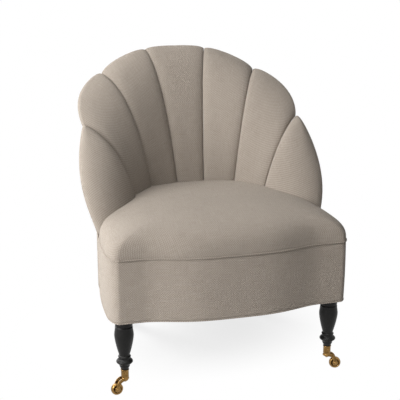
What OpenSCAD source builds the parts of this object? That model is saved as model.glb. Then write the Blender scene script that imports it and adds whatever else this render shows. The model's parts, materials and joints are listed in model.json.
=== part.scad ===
// Slipper chair with a seven-channel shell back, a bow-fronted seat box,
// turned front legs on cup casters and raked back legs.
// +Z is up, the sitter faces -Y, and the origin is on the floor under the
// middle of the chair. All sizes are in millimetres.

/* [Seat box] */
// Height of the box's lower edge above the floor
box_bottom_z = 206; // [190:1:220]
// Height of the seam between the box band and the seat top
welt_z = 373; // [362:1:378]
// Half width of the box at its front corners
corner_x = 308; // [298:1:314]
// Half width of the box at the middle of its sides
side_x = 316; // [312:1:322]
// Distance from the chair's middle forward to the flat ends of the front
front_y = 320; // [310:1:330]
// How far the bow of the front stands out past its flat ends
bow = 34; // [10:1:45]
// Half width of the bow
bow_half_w = 240; // [200:1:260]
// Radius of the box's front corners
corner_r = 14; // [8:1:24]
// How far back from the chair's middle the side panels end (negative is forward)
side_end_y = -57; // [-70:1:-40]
// Distance from the chair's middle back to the box's lower back edge
back_y = 215; // [205:1:225]
// Thickness of the covering fabric with its interlining
fabric = 2; // [1:0.5:3]
// Thickness of the padding on the rails
rail_pad = 10; // [6:1:14]

/* [Seat] */
// Rise of the seat's crown above its seam
crown = 90; // [70:1:100]
// Fullness of the crown: a higher power keeps its sides steeper
crown_power = 2.9; // [2:0.1:4]

/* [Shell back] */
// Where the seam beside the middle channel starts: across, back, up
seam1_foot = [37, 106, 380]; // [0:1:900]
// Where that seam turns over: across, back, up
seam1_knee = [58, 224, 774]; // [0:1:900]
// Where that seam meets the rim: across, back, up
seam1_notch = [92, 313, 819]; // [0:1:900]
// Foot of the next seam out
seam2_foot = [118, 90, 380]; // [0:1:900]
// Knee of the next seam out
seam2_knee = [163, 114, 725]; // [0:1:900]
// Rim end of the next seam out
seam2_notch = [234, 261, 756]; // [0:1:900]
// Foot of the seam beside the wing
seam3_foot = [167, 9, 380]; // [0:1:900]
// Knee of the seam beside the wing
seam3_knee = [221, 4, 594]; // [0:1:900]
// Rim end of the seam beside the wing
seam3_notch = [311, 91, 633]; // [0:1:900]
// Foot of the wing's lower edge
wing_foot = [185, -45, 380]; // [-200:1:900]
// Knee of the wing's lower edge
wing_knee = [262, -114, 394]; // [-200:1:900]
// Tip of the wing's lower edge
wing_tip = [305, -134, 392]; // [-200:1:900]
// Thickness of the channels behind their seams
channel_t = 40; // [30:1:44]
// Share of that thickness that is left at the wings' lower edges
wing_thin = 0.15; // [0.1:0.05:0.8]
// Rise of a channel's crown as a share of its width
puff_share = 0.11; // [0.05:0.01:0.16]
// How far the padding rolls past the rim at a seam
nose_seam = 11; // [6:1:16]
// How far the padding rolls past the rim at a channel's middle
nose_mid = 22; // [14:1:28]
// Thickness of the moulded wooden shell behind the channels
shell_t = 8; // [5:1:10]
// Thickness of the outside back panel
panel_t = 3; // [2:0.5:4]
// Outward swell of the outside back panel
panel_swell = 10; // [0:1:16]

/* [Wooden frame] */
// Height of the seat rails
rail_h = 122; // [100:1:124]
// Thickness of the seat rails
rail_t = 28; // [22:1:32]
// Width of the square front corner posts
post_w = 50; // [44:1:56]

/* [Front legs] */
// How far the front legs stand inside the box's corners, sideways
leg_in = 28; // [24:1:43]
// How far the front legs stand behind the flat ends of the box's front
leg_back = 40; // [32:1:52]
// Diameter of the collar under the box
collar_d = 45; // [38:1:48]
// Largest diameter of the turned vase
vase_d = 50; // [42:1:54]
// Diameter of the neck
neck_d = 27; // [22:1:32]
// Diameter of the lower ring
ring_d = 43; // [34:1:48]
// Height of the leg's end, where the caster cup starts
leg_end_z = 67; // [62:1:70]

/* [Casters] */
// Outer diameter of the brass cup
cup_d = 20.5; // [19:0.5:23]
// Height of the cup's lower face above the floor
cup_bottom_z = 45; // [42:1:48]
// Diameter of the wheel
wheel_d = 32; // [28:1:33]
// Width of the wheel
wheel_w = 12; // [9:1:14]
// Distance from the swivel axis to the wheel's axle
trail = 23; // [21:1:28]
// Angle by which the casters point forward of straight out
caster_yaw = 13; // [0:1:60]
// Diameter of the swivel pin
pin_d = 6; // [5:0.5:7]
// Diameter of the wheel's axle
axle_d = 5; // [4:0.5:6]
// Thickness of the fork's arms
arm_t = 2.5; // [2:0.5:3.5]

/* [Back legs] */
// Distance of the back legs' tops from the chair's middle, sideways
back_leg_x = 185; // [165:1:205]
// Side of the back legs at the top
back_leg_w = 42; // [36:1:46]
// Side of the back legs at the floor
back_foot_w = 26; // [20:1:32]
// How far the back legs rake backwards
rake = 74; // [30:1:80]
// How far the back legs splay sideways
splay = 15; // [0:1:30]

/* [Hidden] */
$fn = 48;

// Radial clearance of a turning pin or wheel
run_gap = 0.05;
// Radial clearance of a fixed pin in its hole
snug = 0.02;
// Gap between pieces that lie against each other
seat_gap = 0.3;
// Gap between the seat's soft edge and the curved channels behind it
soft_gap = 3.2;

FABRIC = "#a29789";
WOOD = "#c9a878";
BLACK = "#262626";
BRASS = "#b08a3e";
FOAM = "#efe6c8";
STEEL = "#8a8d90";
CLOTH = "#2e2e30";

leg_x = corner_x - leg_in;
leg_y = front_y - leg_back;

// Heights of the box, from the floor up
hem_h = 4;
dust_z = box_bottom_z + 0.7;
dust_t = 1.2;
rail_z = box_bottom_z + 2;
rail_top = rail_z + rail_h;
wire_d = 3.6;
clip_t = 1.2;
clip_w = 14;
clip_l = 10;
deck_z = rail_top + wire_d + clip_t + 2 * seat_gap;
deck_t = 1.2;
foam_z = deck_z + deck_t + seat_gap;
bead_h = 3;
bead_out = 1.2;

function lerp(a, b, t) = a + (b - a) * t;
function unit(v) = v / norm(v);
function bez(p, t) = (1 - t) * (1 - t) * p[0] + 2 * t * (1 - t) * p[1] + t * t * p[2];
function bez_slope(p, t) = 2 * ((1 - t) * (p[1] - p[0]) + t * (p[2] - p[1]));
function flip(l) = [for (i = [len(l) - 1:-1:0]) l[i]];
function mirrored(l) = [for (p = l) [-p[0], p[1]]];

// Solid between two point grids of one size: face a lies in front of face b.
module sheet_solid(a, b) {
    m = len(a) - 1;
    n = len(a[0]) - 1;
    w = n + 1;
    o = (m + 1) * w;
    points = concat([for (r = a) each r], [for (r = b) each r]);
    front = [for (i = [0:m - 1], j = [0:n - 1]) let (k = i * w + j)
        each [[k, k + 1, k + w + 1], [k, k + w + 1, k + w]]];
    back = [for (f = front) [f[0] + o, f[2] + o, f[1] + o]];
    foot = [for (i = [0:m - 1]) let (k = i * w) each [[k, k + w, k + w + o], [k, k + w + o, k + o]]];
    head = [for (i = [0:m - 1]) let (k = i * w + n)
        each [[k + w, k, k + o], [k + w, k + o, k + w + o]]];
    left = [for (j = [0:n - 1]) each [[j + 1, j, j + o], [j + 1, j + o, j + 1 + o]]];
    right = [for (j = [0:n - 1]) let (k = m * w + j)
        each [[k, k + 1, k + o], [k + 1, k + 1 + o, k + o]]];
    polyhedron(points, concat(front, back, foot, head, left, right));
}

// Dome over closed rings, the lowest first; with inner rings it is an open shell.
module dome_solid(rings, top, inner = [], inner_top = undef) {
    k = len(rings[0]);
    m = len(rings);
    hollow = len(inner) > 0;
    o = m * k + 1;
    points = concat(
        [for (r = rings) each r], [top], [for (r = inner) each r],
        [hollow ? inner_top : [top[0], top[1], rings[0][0][2]]]
    );
    last = len(points) - 1;
    q = len(inner);
    outside = [for (i = [0:m - 2], j = [0:k - 1]) let (a = i * k + j, b = i * k + (j + 1) % k)
        each [[a, a + k, b + k], [a, b + k, b]]];
    crest = [for (j = [0:k - 1]) [(m - 1) * k + j, m * k, (m - 1) * k + (j + 1) % k]];
    inside = !hollow ? [] : [for (i = [0:q - 2], j = [0:k - 1])
        let (a = o + i * k + j, b = o + i * k + (j + 1) % k) each [[a, b + k, a + k], [a, b, b + k]]];
    ceiling = !hollow ? [] : [for (j = [0:k - 1])
        [o + (q - 1) * k + j, o + (q - 1) * k + (j + 1) % k, last]];
    rim = hollow
        ? [for (j = [0:k - 1]) let (b = (j + 1) % k) each [[j, b, o + b], [j, o + b, o + j]]]
        : [for (j = [0:k - 1]) [j, (j + 1) % k, last]];
    polyhedron(points, concat(outside, crest, inside, ceiling, rim));
}

// Plan of the box, inset by d all round.
// The front is flat at its ends and bows out between them in a smooth serpentine.
function front_line(x, d) = -(front_y - d) - bow * (1 + cos(180 * min(1, pow(abs(x) / bow_half_w, 1.7)))) / 2;
function front_pts(d, n) = let (r = max(corner_r - d, 2), e = corner_x - d - r)
    [for (i = [0:n]) let (x = e * sin(90 * (2 * i / n - 1))) [x, front_line(x, d)]];
corner_turn = 80;
function corner_pts(d, n) = let (r = max(corner_r - d, 2))
    [for (i = [1:n]) let (a = -90 + corner_turn * i / n)
        [corner_x - d - r + r * cos(a), -(front_y - d) + r + r * sin(a)]];
function side_line(y, d) = let (t = (y + front_y) / (side_end_y + front_y))
    corner_x - d + (side_x - corner_x) * 4 * t * (1 - t);
side_start = 6;
function side_pts(d, n, end) = let (y0 = -(front_y - d) + max(corner_r - d, 2) + side_start)
    [for (i = [0:n]) let (y = lerp(y0, end, i / n)) [side_line(y, d), y]];
// The back is a barrel: a quarter of an oval on each side, squarer for a higher power.
barrel = 2;
function barrel_pt(v, d) = let (a = abs(v - 3.5) / 3.5 * 90)
    [sign(v - 3.5) * (corner_x - d) * pow(sin(a), 2 / barrel),
     side_end_y + (back_y - side_end_y - d) * pow(cos(a), 2 / barrel)];

function front_path(d, nf, end, ns) = let (r = concat(corner_pts(d, 4), side_pts(d, ns, end)))
    concat(flip(mirrored(r)), front_pts(d, nf), r);
function rear_path(d, n) = [for (i = [1:n - 1]) barrel_pt(7 - 7 * i / n, d)];
function box_plan(d) = concat(front_path(d, 28, side_end_y, 6), rear_path(d, 36));

// Strip of the front and sides between two insets.
module front_band(outer, inner, z, h) {
    translate([0, 0, z])
        linear_extrude(h)
            polygon(concat(
                front_path(outer, 28, side_end_y - seat_gap, 6),
                flip(front_path(inner, 28, side_end_y - seat_gap, 6))
            ));
}

// Shell back. A place on it is v, from 0 at the left tip to 7 at the right
// tip, with a seam at each whole number, and t, from 0 at the foot to 1 at the rim.
RIGHT = [
    [seam1_foot, seam1_knee, seam1_notch], [seam2_foot, seam2_knee, seam2_notch],
    [seam3_foot, seam3_knee, seam3_notch], [wing_foot, wing_knee, wing_tip]
];
function seam(i) = i < 4 ? [for (p = RIGHT[3 - i]) [-p[0], p[1], p[2]]] : RIGHT[i - 4];
// How far each channel's rim stands out between its seams, the middle one first
LOBES = [[0, 4, 3], [8, 4, 5], [20, 10, 14], [12, 5, 22]];
function lobe(c) = let (l = LOBES[abs(c - 3)]) [l[0] * sign(c - 3), l[1], l[2]];

// Rise of a channel's cross-section: 0 at its seams, 1 at its middle
function crest(u) = pow(max(0, 1 - pow(2 * u - 1, 2)), 0.65);
function channel_of(v) = max(0, min(6, floor(v)));
function bulge(v) = let (c = channel_of(v), l = lobe(c), k = crest(v - c)) [l[0] * k * k, l[1] * k, l[2] * k];
function meridian(v) = let (c = channel_of(v), u = v - c, a = seam(c), b = seam(c + 1), l = bulge(v))
    [lerp(a[0], b[0], u), lerp(a[1], b[1], u) + l * 0.5, lerp(a[2], b[2], u) + l];
function seam_normal(i, t) = let (a = bez(seam(max(i - 1, 0)), t), b = bez(seam(min(i + 1, 7)), t))
    unit(cross(b - a, bez_slope(seam(i), t)));
function normal(v, t) = let (c = channel_of(v), k = min(max(t, 0), 1))
    unit(lerp(seam_normal(c, k), seam_normal(c + 1, k), v - c));
function width(v, t) = let (c = channel_of(v)) norm(bez(seam(c + 1), t) - bez(seam(c), t));
puff_fade = 0.45;
function puff(v, t) = puff_share * width(v, t) * crest(v - channel_of(v)) * (1 - puff_fade * t * t);
// Thickness behind the seams: even across the back, thinner towards the wings' lower edges
function depth(v) = channel_t * (1 - (1 - wing_thin) * pow(max(0, abs(v - 3.5) - 2.5), 1.5));
// Point of the back at depth n in front of the seams' surface
function at(v, t, n) = bez(meridian(v), t) + normal(v, t) * n;
// The roll over the rim: an ellipse from the crown (angle 0) to the back (angle 180)
function roll(v, angle) = let (
        p = puff(v, 1),
        nose = lerp(nose_seam, nose_mid, crest(v - channel_of(v))),
        half = (p + depth(v)) / 2
    )
    at(v, 1, (p - depth(v)) / 2 + half * cos(angle)) + unit(bez_slope(meridian(v), 1)) * nose * sin(angle);

// Grid of each channel: columns across it, rows up it, turns round the roll.
// The columns stop short of the seams, so neighbours lie crease_gap apart.
rows = 9;
turns = 4;
columns = 8;
crease_gap = 1.2;
roll_end = 82;
function place(c, i, t) = let (g = crease_gap / 2 / width(c + 0.5, t))
    c + lerp(g, 1 - g, (1 - cos(180 * i / columns)) / 2);
function front_row(c, i) = concat(
    [for (j = [0:rows - 1]) let (t = j / rows, v = place(c, i, t)) at(v, t, puff(v, t))],
    [for (k = [0:turns]) roll(place(c, i, 1), roll_end * k / turns)]
);
function back_row(c, i) = concat(
    [for (j = [0:rows - 1]) let (t = j / rows, v = place(c, i, t)) at(v, t, -depth(v))],
    [for (k = [0:turns]) roll(place(c, i, 1), 180 - roll_end * k / turns)]
);
module channel(c) {
    color(FABRIC) sheet_solid([for (i = [0:columns]) front_row(c, i)], [for (i = [0:columns]) back_row(c, i)]);
}

// Crown of the seat: reach is 0 at its centre and 1 at the seam with the band
seat_centre = [0, -100];
crown_flat = 2.4;
function crown_z(reach, d) = welt_z + (crown - d) * pow(max(0, 1 - pow(reach, crown_flat)), 1 / crown_power);
// Towards the back the crown runs on under the channels: reach at a point of the plan
back_reach = 333;
function reach_at(p, d) = min(1, pow(
    pow(abs(p[0]) / (side_x - d), 3) + pow(max(0, p[1] - seat_centre[1]) / (back_reach - d), 3), 1 / 3
));
// The seat's edge tucks under the wings' lower edges
wing_tuck = 17;
wing_clear = 2.2;
// Where the seat's top meets the back: halves the stretch of the meridian that holds the crossing
function seat_at(v, t, d) = let (
        wing = max(0, abs(v - 3.5) - 2.7) * (1 - t * t),
        p = at(v, t, puff(v, t) + soft_gap * (1 + wing_clear * wing) + d)
    )
    [p[0], p[1], max(p[2] - (wing_tuck + 1.5 * d) * wing, welt_z + bead_h / 2 + 1.6 - d / 4 + 3 * t)];
function meet_t(v, d, low = 0, high = 1, tries = 12) = let (t = (low + high) / 2, p = seat_at(v, t, d))
    tries == 0 ? t
    : p[2] < crown_z(reach_at(p, d), d) ? meet_t(v, d, t, high, tries - 1)
    : meet_t(v, d, low, t, tries - 1);
// On the front the crown's level lines round off from the seat's outline to an oval
front_reach = 246;
function oval(q) = q / pow(pow(abs(q[0]) / side_x, 3) + pow(abs(q[1]) / front_reach, 3), 1 / 3);

// Seat: closed rings of points, the front and sides first, then along the back
// from the right tip to the left one. Each ring is inset by d.
tip_y = wing_tip[1] - 4;
function seat_vs() = concat(
    [for (i = [0:7]) 7 - i / 8], [for (i = [0:2 * 10]) 6 - i / 4], [for (i = [1:8]) 1 - i / 8]
);
function seat_front(d) = front_path(d, 14, tip_y, 3);
function flat_ring(d, z) = concat(
    [for (p = seat_front(d)) [p[0], p[1], z]],
    [for (v = seat_vs()) let (p = seat_at(v, 0, d)) [p[0], p[1], z]]
);
// Wall between the foot of the back and the seat's top, and the seat's top itself
walls = 2;
dome_steps = [0.985, 0.94, 0.84, 0.66, 0.36];
function dome_rings(d, z) = let (
        front = seat_front(d),
        vs = seat_vs(),
        ts = [for (v = vs) meet_t(v, d)],
        tops = [for (i = [0:len(vs) - 1]) seat_at(vs[i], ts[i], d)]
    )
    concat(
        [for (j = [0:walls - 1]) concat(
            [for (p = front) [p[0], p[1], z + j / walls]],
            [for (i = [0:len(vs) - 1]) seat_at(vs[i], ts[i] * j / walls, d)]
        )],
        [for (r = concat([1], dome_steps)) concat(
            [for (p = front) let (q = p - seat_centre, e = r * lerp(oval(q), q, r * r))
                [seat_centre[0] + e[0], seat_centre[1] + e[1], r == 1 ? z + 1 : crown_z(r, d)]],
            [for (p = tops) let (q = lerp(seat_centre, [p[0], p[1]], r))
                [q[0], q[1], crown_z(r * reach_at(p, d), d)]]
        )]
    );
function dome_top(d) = [seat_centre[0], seat_centre[1], welt_z + crown - d];

module seat_foam() {
    d = fabric + 10 * seat_gap;
    base = fabric + rail_pad + seat_gap;
    color(FOAM) dome_solid(
        concat(
            [flat_ring(base, foam_z), flat_ring(base, welt_z - 2), flat_ring(d, welt_z + bead_h / 2)],
            dome_rings(d, welt_z + bead_h / 2 + 1)
        ),
        dome_top(d)
    );
}

module seat_cover() {
    z = welt_z + bead_h / 2;
    color(FABRIC) dome_solid(
        concat([flat_ring(0, z)], dome_rings(0, z + 0.5)), dome_top(0),
        concat([flat_ring(fabric, z)], dome_rings(fabric, z + 0.5)), dome_top(fabric)
    );
}

module seat_welt() {
    color(FABRIC) front_band(-bead_out, fabric, welt_z - bead_h / 2 + 0.1, bead_h - 0.2);
}

module apron_band() {
    color(FABRIC) front_band(0, fabric, box_bottom_z + hem_h, welt_z - bead_h / 2 - box_bottom_z - hem_h);
}

module apron_padding() {
    color(FOAM) front_band(
        fabric + 0.1, fabric + rail_pad, box_bottom_z + hem_h + 0.1, foam_z - box_bottom_z - hem_h - 0.4
    );
}

module bottom_piping() {
    color(FABRIC)
        translate([0, 0, box_bottom_z])
            linear_extrude(hem_h - 0.1)
                difference() {
                    polygon(box_plan(-bead_out));
                    polygon(box_plan(fabric + 1));
                }
}

module front_rail() {
    d = fabric + rail_pad + seat_gap;
    e = corner_x - d - post_w - seat_gap;
    xs = [for (i = [-12:12]) e * i / 12];
    color(WOOD)
        translate([0, 0, rail_z])
            linear_extrude(rail_h)
                polygon(concat(
                    [for (x = xs) [x, front_line(x, d)]],
                    flip([for (x = xs) [x, front_line(x, d + rail_t)]])
                ));
}

module front_posts() {
    d = fabric + rail_pad + seat_gap;
    color(WOOD)
        for (s = [-1, 1])
            difference() {
                translate([s * (corner_x - d - post_w / 2) - post_w / 2, -(front_y - d) + 1, rail_z])
                    cube([post_w, post_w, rail_h]);
                translate([s * leg_x, -leg_y, rail_z - 1])
                    cylinder(r = bolt_d / 2 + snug, h = bolt_up + 2);
            }
}

module side_rails() {
    d = fabric + rail_pad + seat_gap;
    y0 = -(front_y - d) + 1 + post_w + seat_gap;
    ys = [for (i = [0:5]) lerp(y0, side_end_y - seat_gap, i / 5)];
    color(WOOD)
        for (s = [-1, 1])
            translate([0, 0, rail_z])
                linear_extrude(rail_h)
                    polygon(concat(
                        [for (y = ys) [s * (side_line(y, d)), y]],
                        flip([for (y = ys) [s * (side_line(y, d + rail_t)), y]])
                    ));
}

rear_inset = panel_t + seat_gap;

module back_rail() {
    color(WOOD)
        translate([0, 0, rail_z])
            linear_extrude(rail_h)
                polygon(concat(
                    [for (w = panel_ws) panel_foot(w, rear_inset)],
                    flip([for (w = panel_ws) panel_foot(w, rear_inset + rail_t)])
                ));
}

// Blocks glued inside the back rail; the back legs are bolted up into them
module leg_blocks() {
    color(WOOD)
        translate([0, 0, rail_z])
            linear_extrude(rail_h)
                for (s = [-1, 1])
                    difference() {
                        intersection() {
                            translate([s * back_leg_x, back_leg_y])
                                square(block_w, center = true);
                            polygon([for (w = panel_ws) panel_foot(w, rear_inset + rail_t + seat_gap)]);
                        }
                        translate([s * back_leg_x, back_leg_y])
                            circle(bolt_d / 2 + snug);
                    }
}

// Seat suspension: five zigzag wires between the rails, held by folded clips.
spring_xs = [-168, -84, 0, 84, 168];
spring_pitch = 38;
spring_reach = 24;
function rear_edge(x, d) = side_end_y
    + (back_y - side_end_y - d) * pow(1 - pow(abs(x) / (corner_x - d), barrel), 1 / barrel);
function spring_start(x) = front_line(x, fabric + rail_pad + rail_t) + 4;
function spring_end(x) = rear_edge(abs(x) + spring_reach, rear_inset + rail_t) + 6;

module spring(x) {
    y0 = spring_start(x);
    y1 = spring_end(x);
    n = 6 * round((y1 - y0) / spring_pitch);
    mid = [for (i = [0:n]) [x + spring_reach * sin(i * 60 + 90), lerp(y0, y1, i / n)]];
    side = [for (i = [0:n]) let (t = unit(mid[min(i + 1, n)] - mid[max(i - 1, 0)])) [t[1], -t[0]]];
    translate([0, 0, rail_top + 0.2])
        linear_extrude(wire_d)
            polygon(concat(
                [for (i = [0:n]) mid[i] + side[i] * wire_d / 2],
                flip([for (i = [0:n]) mid[i] - side[i] * wire_d / 2])
            ));
}

module seat_springs() {
    color(STEEL)
        for (x = spring_xs)
            spring(x);
}

module spring_clips() {
    top = wire_d + 0.2 + clip_t + 0.1;
    color(STEEL)
        for (x = spring_xs, e = [0, 1])
            translate([x + spring_reach - clip_w / 2, e == 0 ? spring_start(x) : spring_end(x), rail_top]) {
                translate([0, -clip_l / 2, top - clip_t])
                    cube([clip_w, clip_l, clip_t]);
                translate([0, e == 0 ? -clip_l / 2 - clip_t : clip_l / 2, 0])
                    cube([clip_w, clip_t, top]);
            }
}

module deck_cloth() {
    d = fabric + rail_pad + 2;
    r = flat_ring(d, 0);
    color(CLOTH)
        translate([0, 0, deck_z])
            linear_extrude(deck_t)
                polygon([for (p = r) [p[0], p[1]]]);
}

module dust_cover() {
    color(CLOTH)
        translate([0, 0, dust_z])
            linear_extrude(dust_t)
                difference() {
                    polygon(box_plan(fabric + 1.4));
                    for (s = [-1, 1]) {
                        translate([s * leg_x, -leg_y])
                            circle(collar_d / 2 + 0.6);
                        translate([s * back_leg_x, back_leg_y])
                            square(back_leg_w + 1.2, center = true);
                    }
                }
}

// Moulded shell and ribs that carry the channels and the outside panel
function behind(c, i, t, d) = let (v = place(c, i, t)) at(v, t, -depth(v) - d);
shell_columns = concat(
    [for (i = [columns / 2:columns]) [0, i]], [for (c = [1:5], i = [0:columns]) [c, i]],
    [for (i = [0:columns / 2]) [6, i]]
);
module inner_back_shell() {
    color(WOOD) sheet_solid(
        [for (k = shell_columns) [for (j = [0:rows - 1]) behind(k[0], k[1], j / rows, seat_gap)]],
        [for (k = shell_columns) [for (j = [0:rows - 1]) behind(k[0], k[1], j / rows, seat_gap + shell_t)]]
    );
}

// Outside back: a panel that goes straight up from the box's lower edge to its
// seam and then swells out to the rolled rim
panel_end = 0.12;
panel_straight = 3;
panel_seam = 3;
panel_angle = 128;
function panel_top(w) = roll(w, panel_angle)
    - normal(w, 1) * (panel_t + 3 * seat_gap + panel_seam * depth(w) / channel_t);
function panel_foot(w, d) = barrel_pt(7 * (w - panel_end) / (7 - 2 * panel_end), d);
panel_lean = 40;
function panel_out(w) = let (foot = panel_foot(w, 0)) unit([foot[0], foot[1] - side_end_y + panel_lean, 0]);
function panel_curve(w, h, d) = let (
        foot = panel_foot(w, d),
        top = panel_top(w) - panel_out(w) * d,
        low = [foot[0], foot[1], welt_z]
    )
    bez([low, [foot[0], foot[1], lerp(welt_z, top[2], 0.3)], top], h)
        + panel_out(w) * panel_swell * sin(180 * h);
function panel_row(w, d) = let (foot = panel_foot(w, d)) concat(
    [for (j = [0:panel_straight - 1])
        [foot[0], foot[1], lerp(box_bottom_z + hem_h, welt_z, j / panel_straight)]],
    [for (j = [0:7]) panel_curve(w, j / 7, d)]
);
panel_ws = concat(
    [panel_end, 0.3, 0.5, 0.7, 0.9], [for (c = [1:5], i = [0:columns]) place(c, i, 1)],
    [6.1, 6.3, 6.5, 6.7, 7 - panel_end]
);

module outside_back() {
    color(FABRIC) sheet_solid([for (w = panel_ws) panel_row(w, panel_t)], [for (w = panel_ws) panel_row(w, 0)]);
}

// Soft fillers that close the box between the seat's sides and the wings' lower
// edges, stepped up towards the tips under the rising edge
pad_step = 0.3;
pad_starts = [0.1, 0.1 + pad_step];
function wing_under(t) = at(7, t, -depth(7))[2] - 2 * seat_gap;
module wing_pads() {
    z = welt_z + bead_h / 2 + 0.2;
    foot = at(7, 0, 0) + [13, 15, 0];
    tip = at(7, 1, 0) + [3, 4, 0];
    color(FABRIC)
        for (s = [-1, 1], from = pad_starts)
            translate([0, 0, z])
                linear_extrude(wing_under(from) - z)
                    polygon([for (q = concat(
                        [for (t = [from:pad_step:1]) lerp(foot, tip, t)],
                        [for (t = [1:-pad_step:from])
                            let (y = lerp(side_end_y - 1, wing_tip[1], t)) [side_line(y, 0.2), y]]
                    )) [s * q[0], q[1]]]);
}

rib_vs = [1.5, 2.5, 3.5, 4.5, 5.5];
rib_half = 0.08;
rib_steps = 7;
function rib_front(v) = [for (j = [0:rib_steps]) at(v, j / rows, -depth(v) - shell_t - 3 * seat_gap)];
function rib_back(v) = concat(
    [let (p = panel_foot(v, panel_t + 5 * seat_gap)) [p[0], p[1], rail_top]],
    [for (j = [0:rib_steps - 1]) panel_curve(v, 0.82 * j / (rib_steps - 1), panel_t + 5 * seat_gap)]
);
module back_ribs() {
    color(WOOD)
        for (v0 = rib_vs)
            let (vs = [v0 - rib_half, v0 + rib_half])
                intersection() {
                    sheet_solid([for (v = vs) rib_front(v)], [for (v = vs) rib_back(v)]);
                    translate([-500, -500, rail_top + seat_gap])
                        cube(1000);
                }
}

// Turned front leg: heights and radii of its turning, from the top down.
// Between two of them the radius follows half a cosine wave, or a third number's power.
vase_taper = 1.45;
bolt_d = 8;
bolt_up = 45;
bolt_down = 38;
tenon_r = cup_d / 2 - 1.4;
tenon_end = cup_bottom_z + 5;
leg_top = rail_z - 0.1;
TURNING = [
    [leg_top, collar_d / 2 - 1.5], [leg_top - 3, collar_d / 2], [leg_top - 18, collar_d / 2],
    [leg_top - 21, collar_d / 2 - 1.6], [leg_top - 24, collar_d / 2 + 0.3], [leg_top - 46, vase_d / 2, vase_taper],
    [leg_end_z + 40, neck_d / 2], [leg_end_z + 36, neck_d / 2 + 3], [leg_end_z + 32, neck_d / 2 + 2],
    [leg_end_z + 22, ring_d / 2], [leg_end_z + 12, cup_d / 2 + 3.5], [leg_end_z, cup_d / 2 - 0.3]
];
turn_steps = 6;
function turn_share(power, t) = is_undef(power) ? (1 - cos(180 * t)) / 2 : pow(t, power);
function turned(l) = concat(
    [for (i = [0:len(l) - 2], k = [0:turn_steps - 1]) let (t = k / turn_steps)
        [lerp(l[i][1], l[i + 1][1], turn_share(l[i][2], t)), lerp(l[i][0], l[i + 1][0], t)]],
    [[l[len(l) - 1][1], l[len(l) - 1][0]]]
);

module front_leg(s) {
    color(BLACK)
        translate([s * leg_x, -leg_y, 0])
            difference() {
                rotate_extrude()
                    polygon(concat(
                        [[0, leg_top]], turned(TURNING),
                        [[tenon_r, leg_end_z], [tenon_r, tenon_end], [0, tenon_end]]
                    ));
                translate([0, 0, leg_top - bolt_down])
                    cylinder(r = bolt_d / 2 + snug, h = bolt_down + 1);
            }
}

// Raked back leg, square and tapered
leg_inset = rear_inset + rail_t + 14;
block_w = 54;
back_leg_y = rear_edge(back_leg_x, leg_inset);
glide_h = 4;
glide_d = 20;
corners = [[-1, -1], [1, -1], [1, 1], [-1, 1]];
function leg_square(x, y, w, z) = [for (p = corners) [x + p[0] * w / 2, y + p[1] * w / 2, z]];

glide_pin_r = 1.5;
glide_pin_up = 14;
module rear_leg(s) {
    low = leg_square(s * (back_leg_x + splay), back_leg_y + rake, back_foot_w, glide_h);
    high = leg_square(s * back_leg_x, back_leg_y, back_leg_w, leg_top);
    color(BLACK)
        difference() {
            polyhedron(concat(low, high), [
                [0, 1, 2, 3], [7, 6, 5, 4], [0, 4, 5, 1], [1, 5, 6, 2], [2, 6, 7, 3], [3, 7, 4, 0]
            ]);
            translate([s * back_leg_x, back_leg_y, leg_top - bolt_down])
                cylinder(r = bolt_d / 2 + snug, h = bolt_down + 1);
            translate([s * (back_leg_x + splay), back_leg_y + rake, 0])
                cylinder(r = glide_pin_r + snug, h = glide_pin_up);
        }
}

module rear_glides() {
    color(STEEL)
        for (s = [-1, 1])
            translate([s * (back_leg_x + splay), back_leg_y + rake, 0]) {
                cylinder(d = glide_d, h = glide_h);
                cylinder(r = glide_pin_r, h = glide_pin_up);
            }
}

module hanger_bolts() {
    color(STEEL)
        for (s = [-1, 1], p = [[leg_x, -leg_y], [back_leg_x, back_leg_y]])
            translate([s * p[0], p[1], leg_top - bolt_down])
                cylinder(d = bolt_d, h = bolt_down + bolt_up);
}

// Cup caster. The fork and wheel are drawn trailing along +X from the swivel axis.
plate_t = 3.5;
boss_top = cup_bottom_z - 0.3;
boss_bottom = cup_bottom_z - 10;
boss_r = wheel_w / 2 + 0.6 + arm_t;
head_r = 4.6;
axle_z = wheel_d / 2;
eye_r = 7;
screw_r = 1.4;

module at_caster(s) {
    translate([s * leg_x, -leg_y, 0])
        rotate([0, 0, s > 0 ? -caster_yaw : 180 + caster_yaw])
            children();
}

module caster_cup(s) {
    color(BRASS)
        translate([s * leg_x, -leg_y, 0])
            difference() {
                union() {
                    rotate_extrude()
                        polygon([
                            [0, cup_bottom_z], [cup_d / 2 - 0.8, cup_bottom_z],
                            [cup_d / 2, cup_bottom_z + 0.8], [cup_d / 2, leg_end_z - 1.1],
                            [cup_d / 2 + 0.6, leg_end_z - 0.8], [cup_d / 2 + 0.6, leg_end_z - 0.1],
                            [tenon_r + snug * 2, leg_end_z - 0.1], [tenon_r + snug * 2, cup_bottom_z + plate_t],
                            [0, cup_bottom_z + plate_t]
                        ]);
                    translate([0, 0, boss_bottom - 3])
                        cylinder(r = pin_d / 2, h = cup_bottom_z - boss_bottom + 4);
                    translate([0, 0, boss_bottom - 3])
                        cylinder(r1 = head_r - 1, r2 = head_r, h = 2.7);
                }
                for (a = [90, 270])
                    rotate([0, 0, a])
                        translate([0, 0, cup_bottom_z + 13])
                            rotate([0, 90, 0])
                                cylinder(r = screw_r + snug, h = cup_d);
            }
}

module cup_screws(s) {
    neck = cup_d / 2 + 0.05;
    color(BRASS)
        translate([s * leg_x, -leg_y, cup_bottom_z + 13])
            for (a = [90, 270])
                rotate([0, 0, a])
                    rotate([0, 90, 0])
                        rotate_extrude()
                            polygon([
                                [0, tenon_r + snug], [screw_r, tenon_r + snug], [screw_r, neck],
                                [screw_r + 0.9, neck], [screw_r, neck + 0.9], [0, neck + 0.9]
                            ]);
}

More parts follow.
